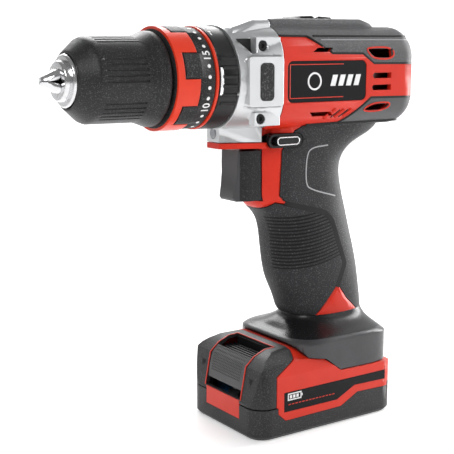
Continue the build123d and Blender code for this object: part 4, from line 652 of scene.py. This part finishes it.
ground_steel = finish_of("ground_steel", (0.50, 0.50, 0.51), 0.30, 0.0008, 0.00001, 0.1, 1.0)
copper_wire = finish_of("copper_wire", (0.55, 0.22, 0.07), 0.35, 0.0006, 0.00006, 0.2, 1.0)
graphite = finish_of("graphite", (0.05, 0.05, 0.055), 0.5, 0.0005, 0.00004, 0.2, 0.3)
natural_nylon = finish_of("natural_nylon", (0.70, 0.69, 0.64), 0.5, 0.0006, 0.00003, 0.06)
cell_film = finish_of("cell_film", (0.05, 0.20, 0.42), 0.28, 0.0010, 0.00001, 0.08)
dressed = {"armature": copper_wire, "carbon_brushes": graphite, "cooling_fan": natural_nylon,
           "battery_cells": cell_film, "motor_end_bell": control_nylon, "terminal_block": control_nylon}
for node, thing in frame["nodes"].items():
    if thing.hide_render:
        continue
    thing.data.materials.clear()
    thing.data.materials.append(dressed.get(node, ground_steel))

# ---------------------------------------------------------------------------
# Studio: a pale floor, soft lights and the camera.
# ---------------------------------------------------------------------------

ground = bmesh.new()
bmesh.ops.create_grid(ground, x_segments=2, y_segments=2, size=3.0)
paper = finish_of("paper", (0.88, 0.88, 0.88), 0.8, 0.01, 0.0001, 0.01)
paper.node_tree.nodes["Principled BSDF"].inputs["Emission Color"].default_value = (1, 1, 1, 1)
paper.node_tree.nodes["Principled BSDF"].inputs["Emission Strength"].default_value = 0.29
floor_mesh = bpy.data.meshes.new("floor")
ground.to_mesh(floor_mesh)
ground.free()
floor = bpy.data.objects.new("floor", floor_mesh)
bpy.context.scene.collection.objects.link(floor)
floor_mesh.materials.append(paper)

wall = bmesh.new()
bmesh.ops.create_grid(wall, x_segments=2, y_segments=2, size=3.0)
bmesh.ops.rotate(wall, verts=wall.verts, matrix=Matrix.Rotation(radians(90), 3, "X"))
bmesh.ops.rotate(wall, verts=wall.verts, matrix=Matrix.Rotation(radians(-34), 3, "Z"))
bmesh.ops.translate(wall, verts=wall.verts, vec=(0.95, 1.40, 0))
glowing_paper = finish_of("glowing_paper", (0.90, 0.90, 0.90), 0.8, 0.01, 0.0001, 0.01)
glowing_paper.node_tree.nodes["Principled BSDF"].inputs["Emission Color"].default_value = (1, 1, 1, 1)
glowing_paper.node_tree.nodes["Principled BSDF"].inputs["Emission Strength"].default_value = 0.7
backdrop_mesh = bpy.data.meshes.new("backdrop")
wall.to_mesh(backdrop_mesh)
wall.free()
backdrop = bpy.data.objects.new("backdrop", backdrop_mesh)
bpy.context.scene.collection.objects.link(backdrop)
backdrop_mesh.materials.append(glowing_paper)

world = bpy.data.worlds.new("studio")
bpy.context.scene.world = world
world.use_nodes = True
world.node_tree.nodes["Background"].inputs["Color"].default_value = (1.0, 1.0, 1.0, 1)
world.node_tree.nodes["Background"].inputs["Strength"].default_value = 0.27


def soft_light(name, at, aim, size, power):
    lamp = bpy.data.lights.new(name, "AREA")
    lamp.shape = "RECTANGLE"
    lamp.size, lamp.size_y = size
    lamp.energy = power
    stand = bpy.data.objects.new(name, lamp)
    stand.location = at
    stand.rotation_euler = (Vector(aim) - Vector(at)).to_track_quat("-Z", "Y").to_euler()
    bpy.context.scene.collection.objects.link(stand)


soft_light("key", (-0.75, -0.55, 0.85), (0, 0, 0.12), (0.5, 0.5), 6.0)
soft_light("fill", (0.70, -0.80, 0.45), (0, 0, 0.12), (0.6, 0.8), 2.0)
soft_light("back", (0.35, 0.80, 0.75), (0, 0, 0.14), (0.8, 0.4), 8.0)
soft_light("rim", (0.75, -0.05, 0.30), (0.02, 0, 0.12), (0.3, 0.8), 9.0)

eye = bpy.data.cameras.new("camera")
eye.lens = 82.5
eye.sensor_width = 36.0
eye.clip_start = 0.01
camera = bpy.data.objects.new("camera", eye)
camera.location = (-0.322, -0.406, 0.1885)
gaze = Vector((-0.044, 0, 0.100)) - Vector(camera.location)
camera.rotation_euler = gaze.to_track_quat("-Z", "Y").to_euler()
bpy.context.scene.collection.objects.link(camera)
bpy.context.scene.camera = camera
bpy.context.scene.view_settings.view_transform = "Standard"

bpy.context.view_layer.update()
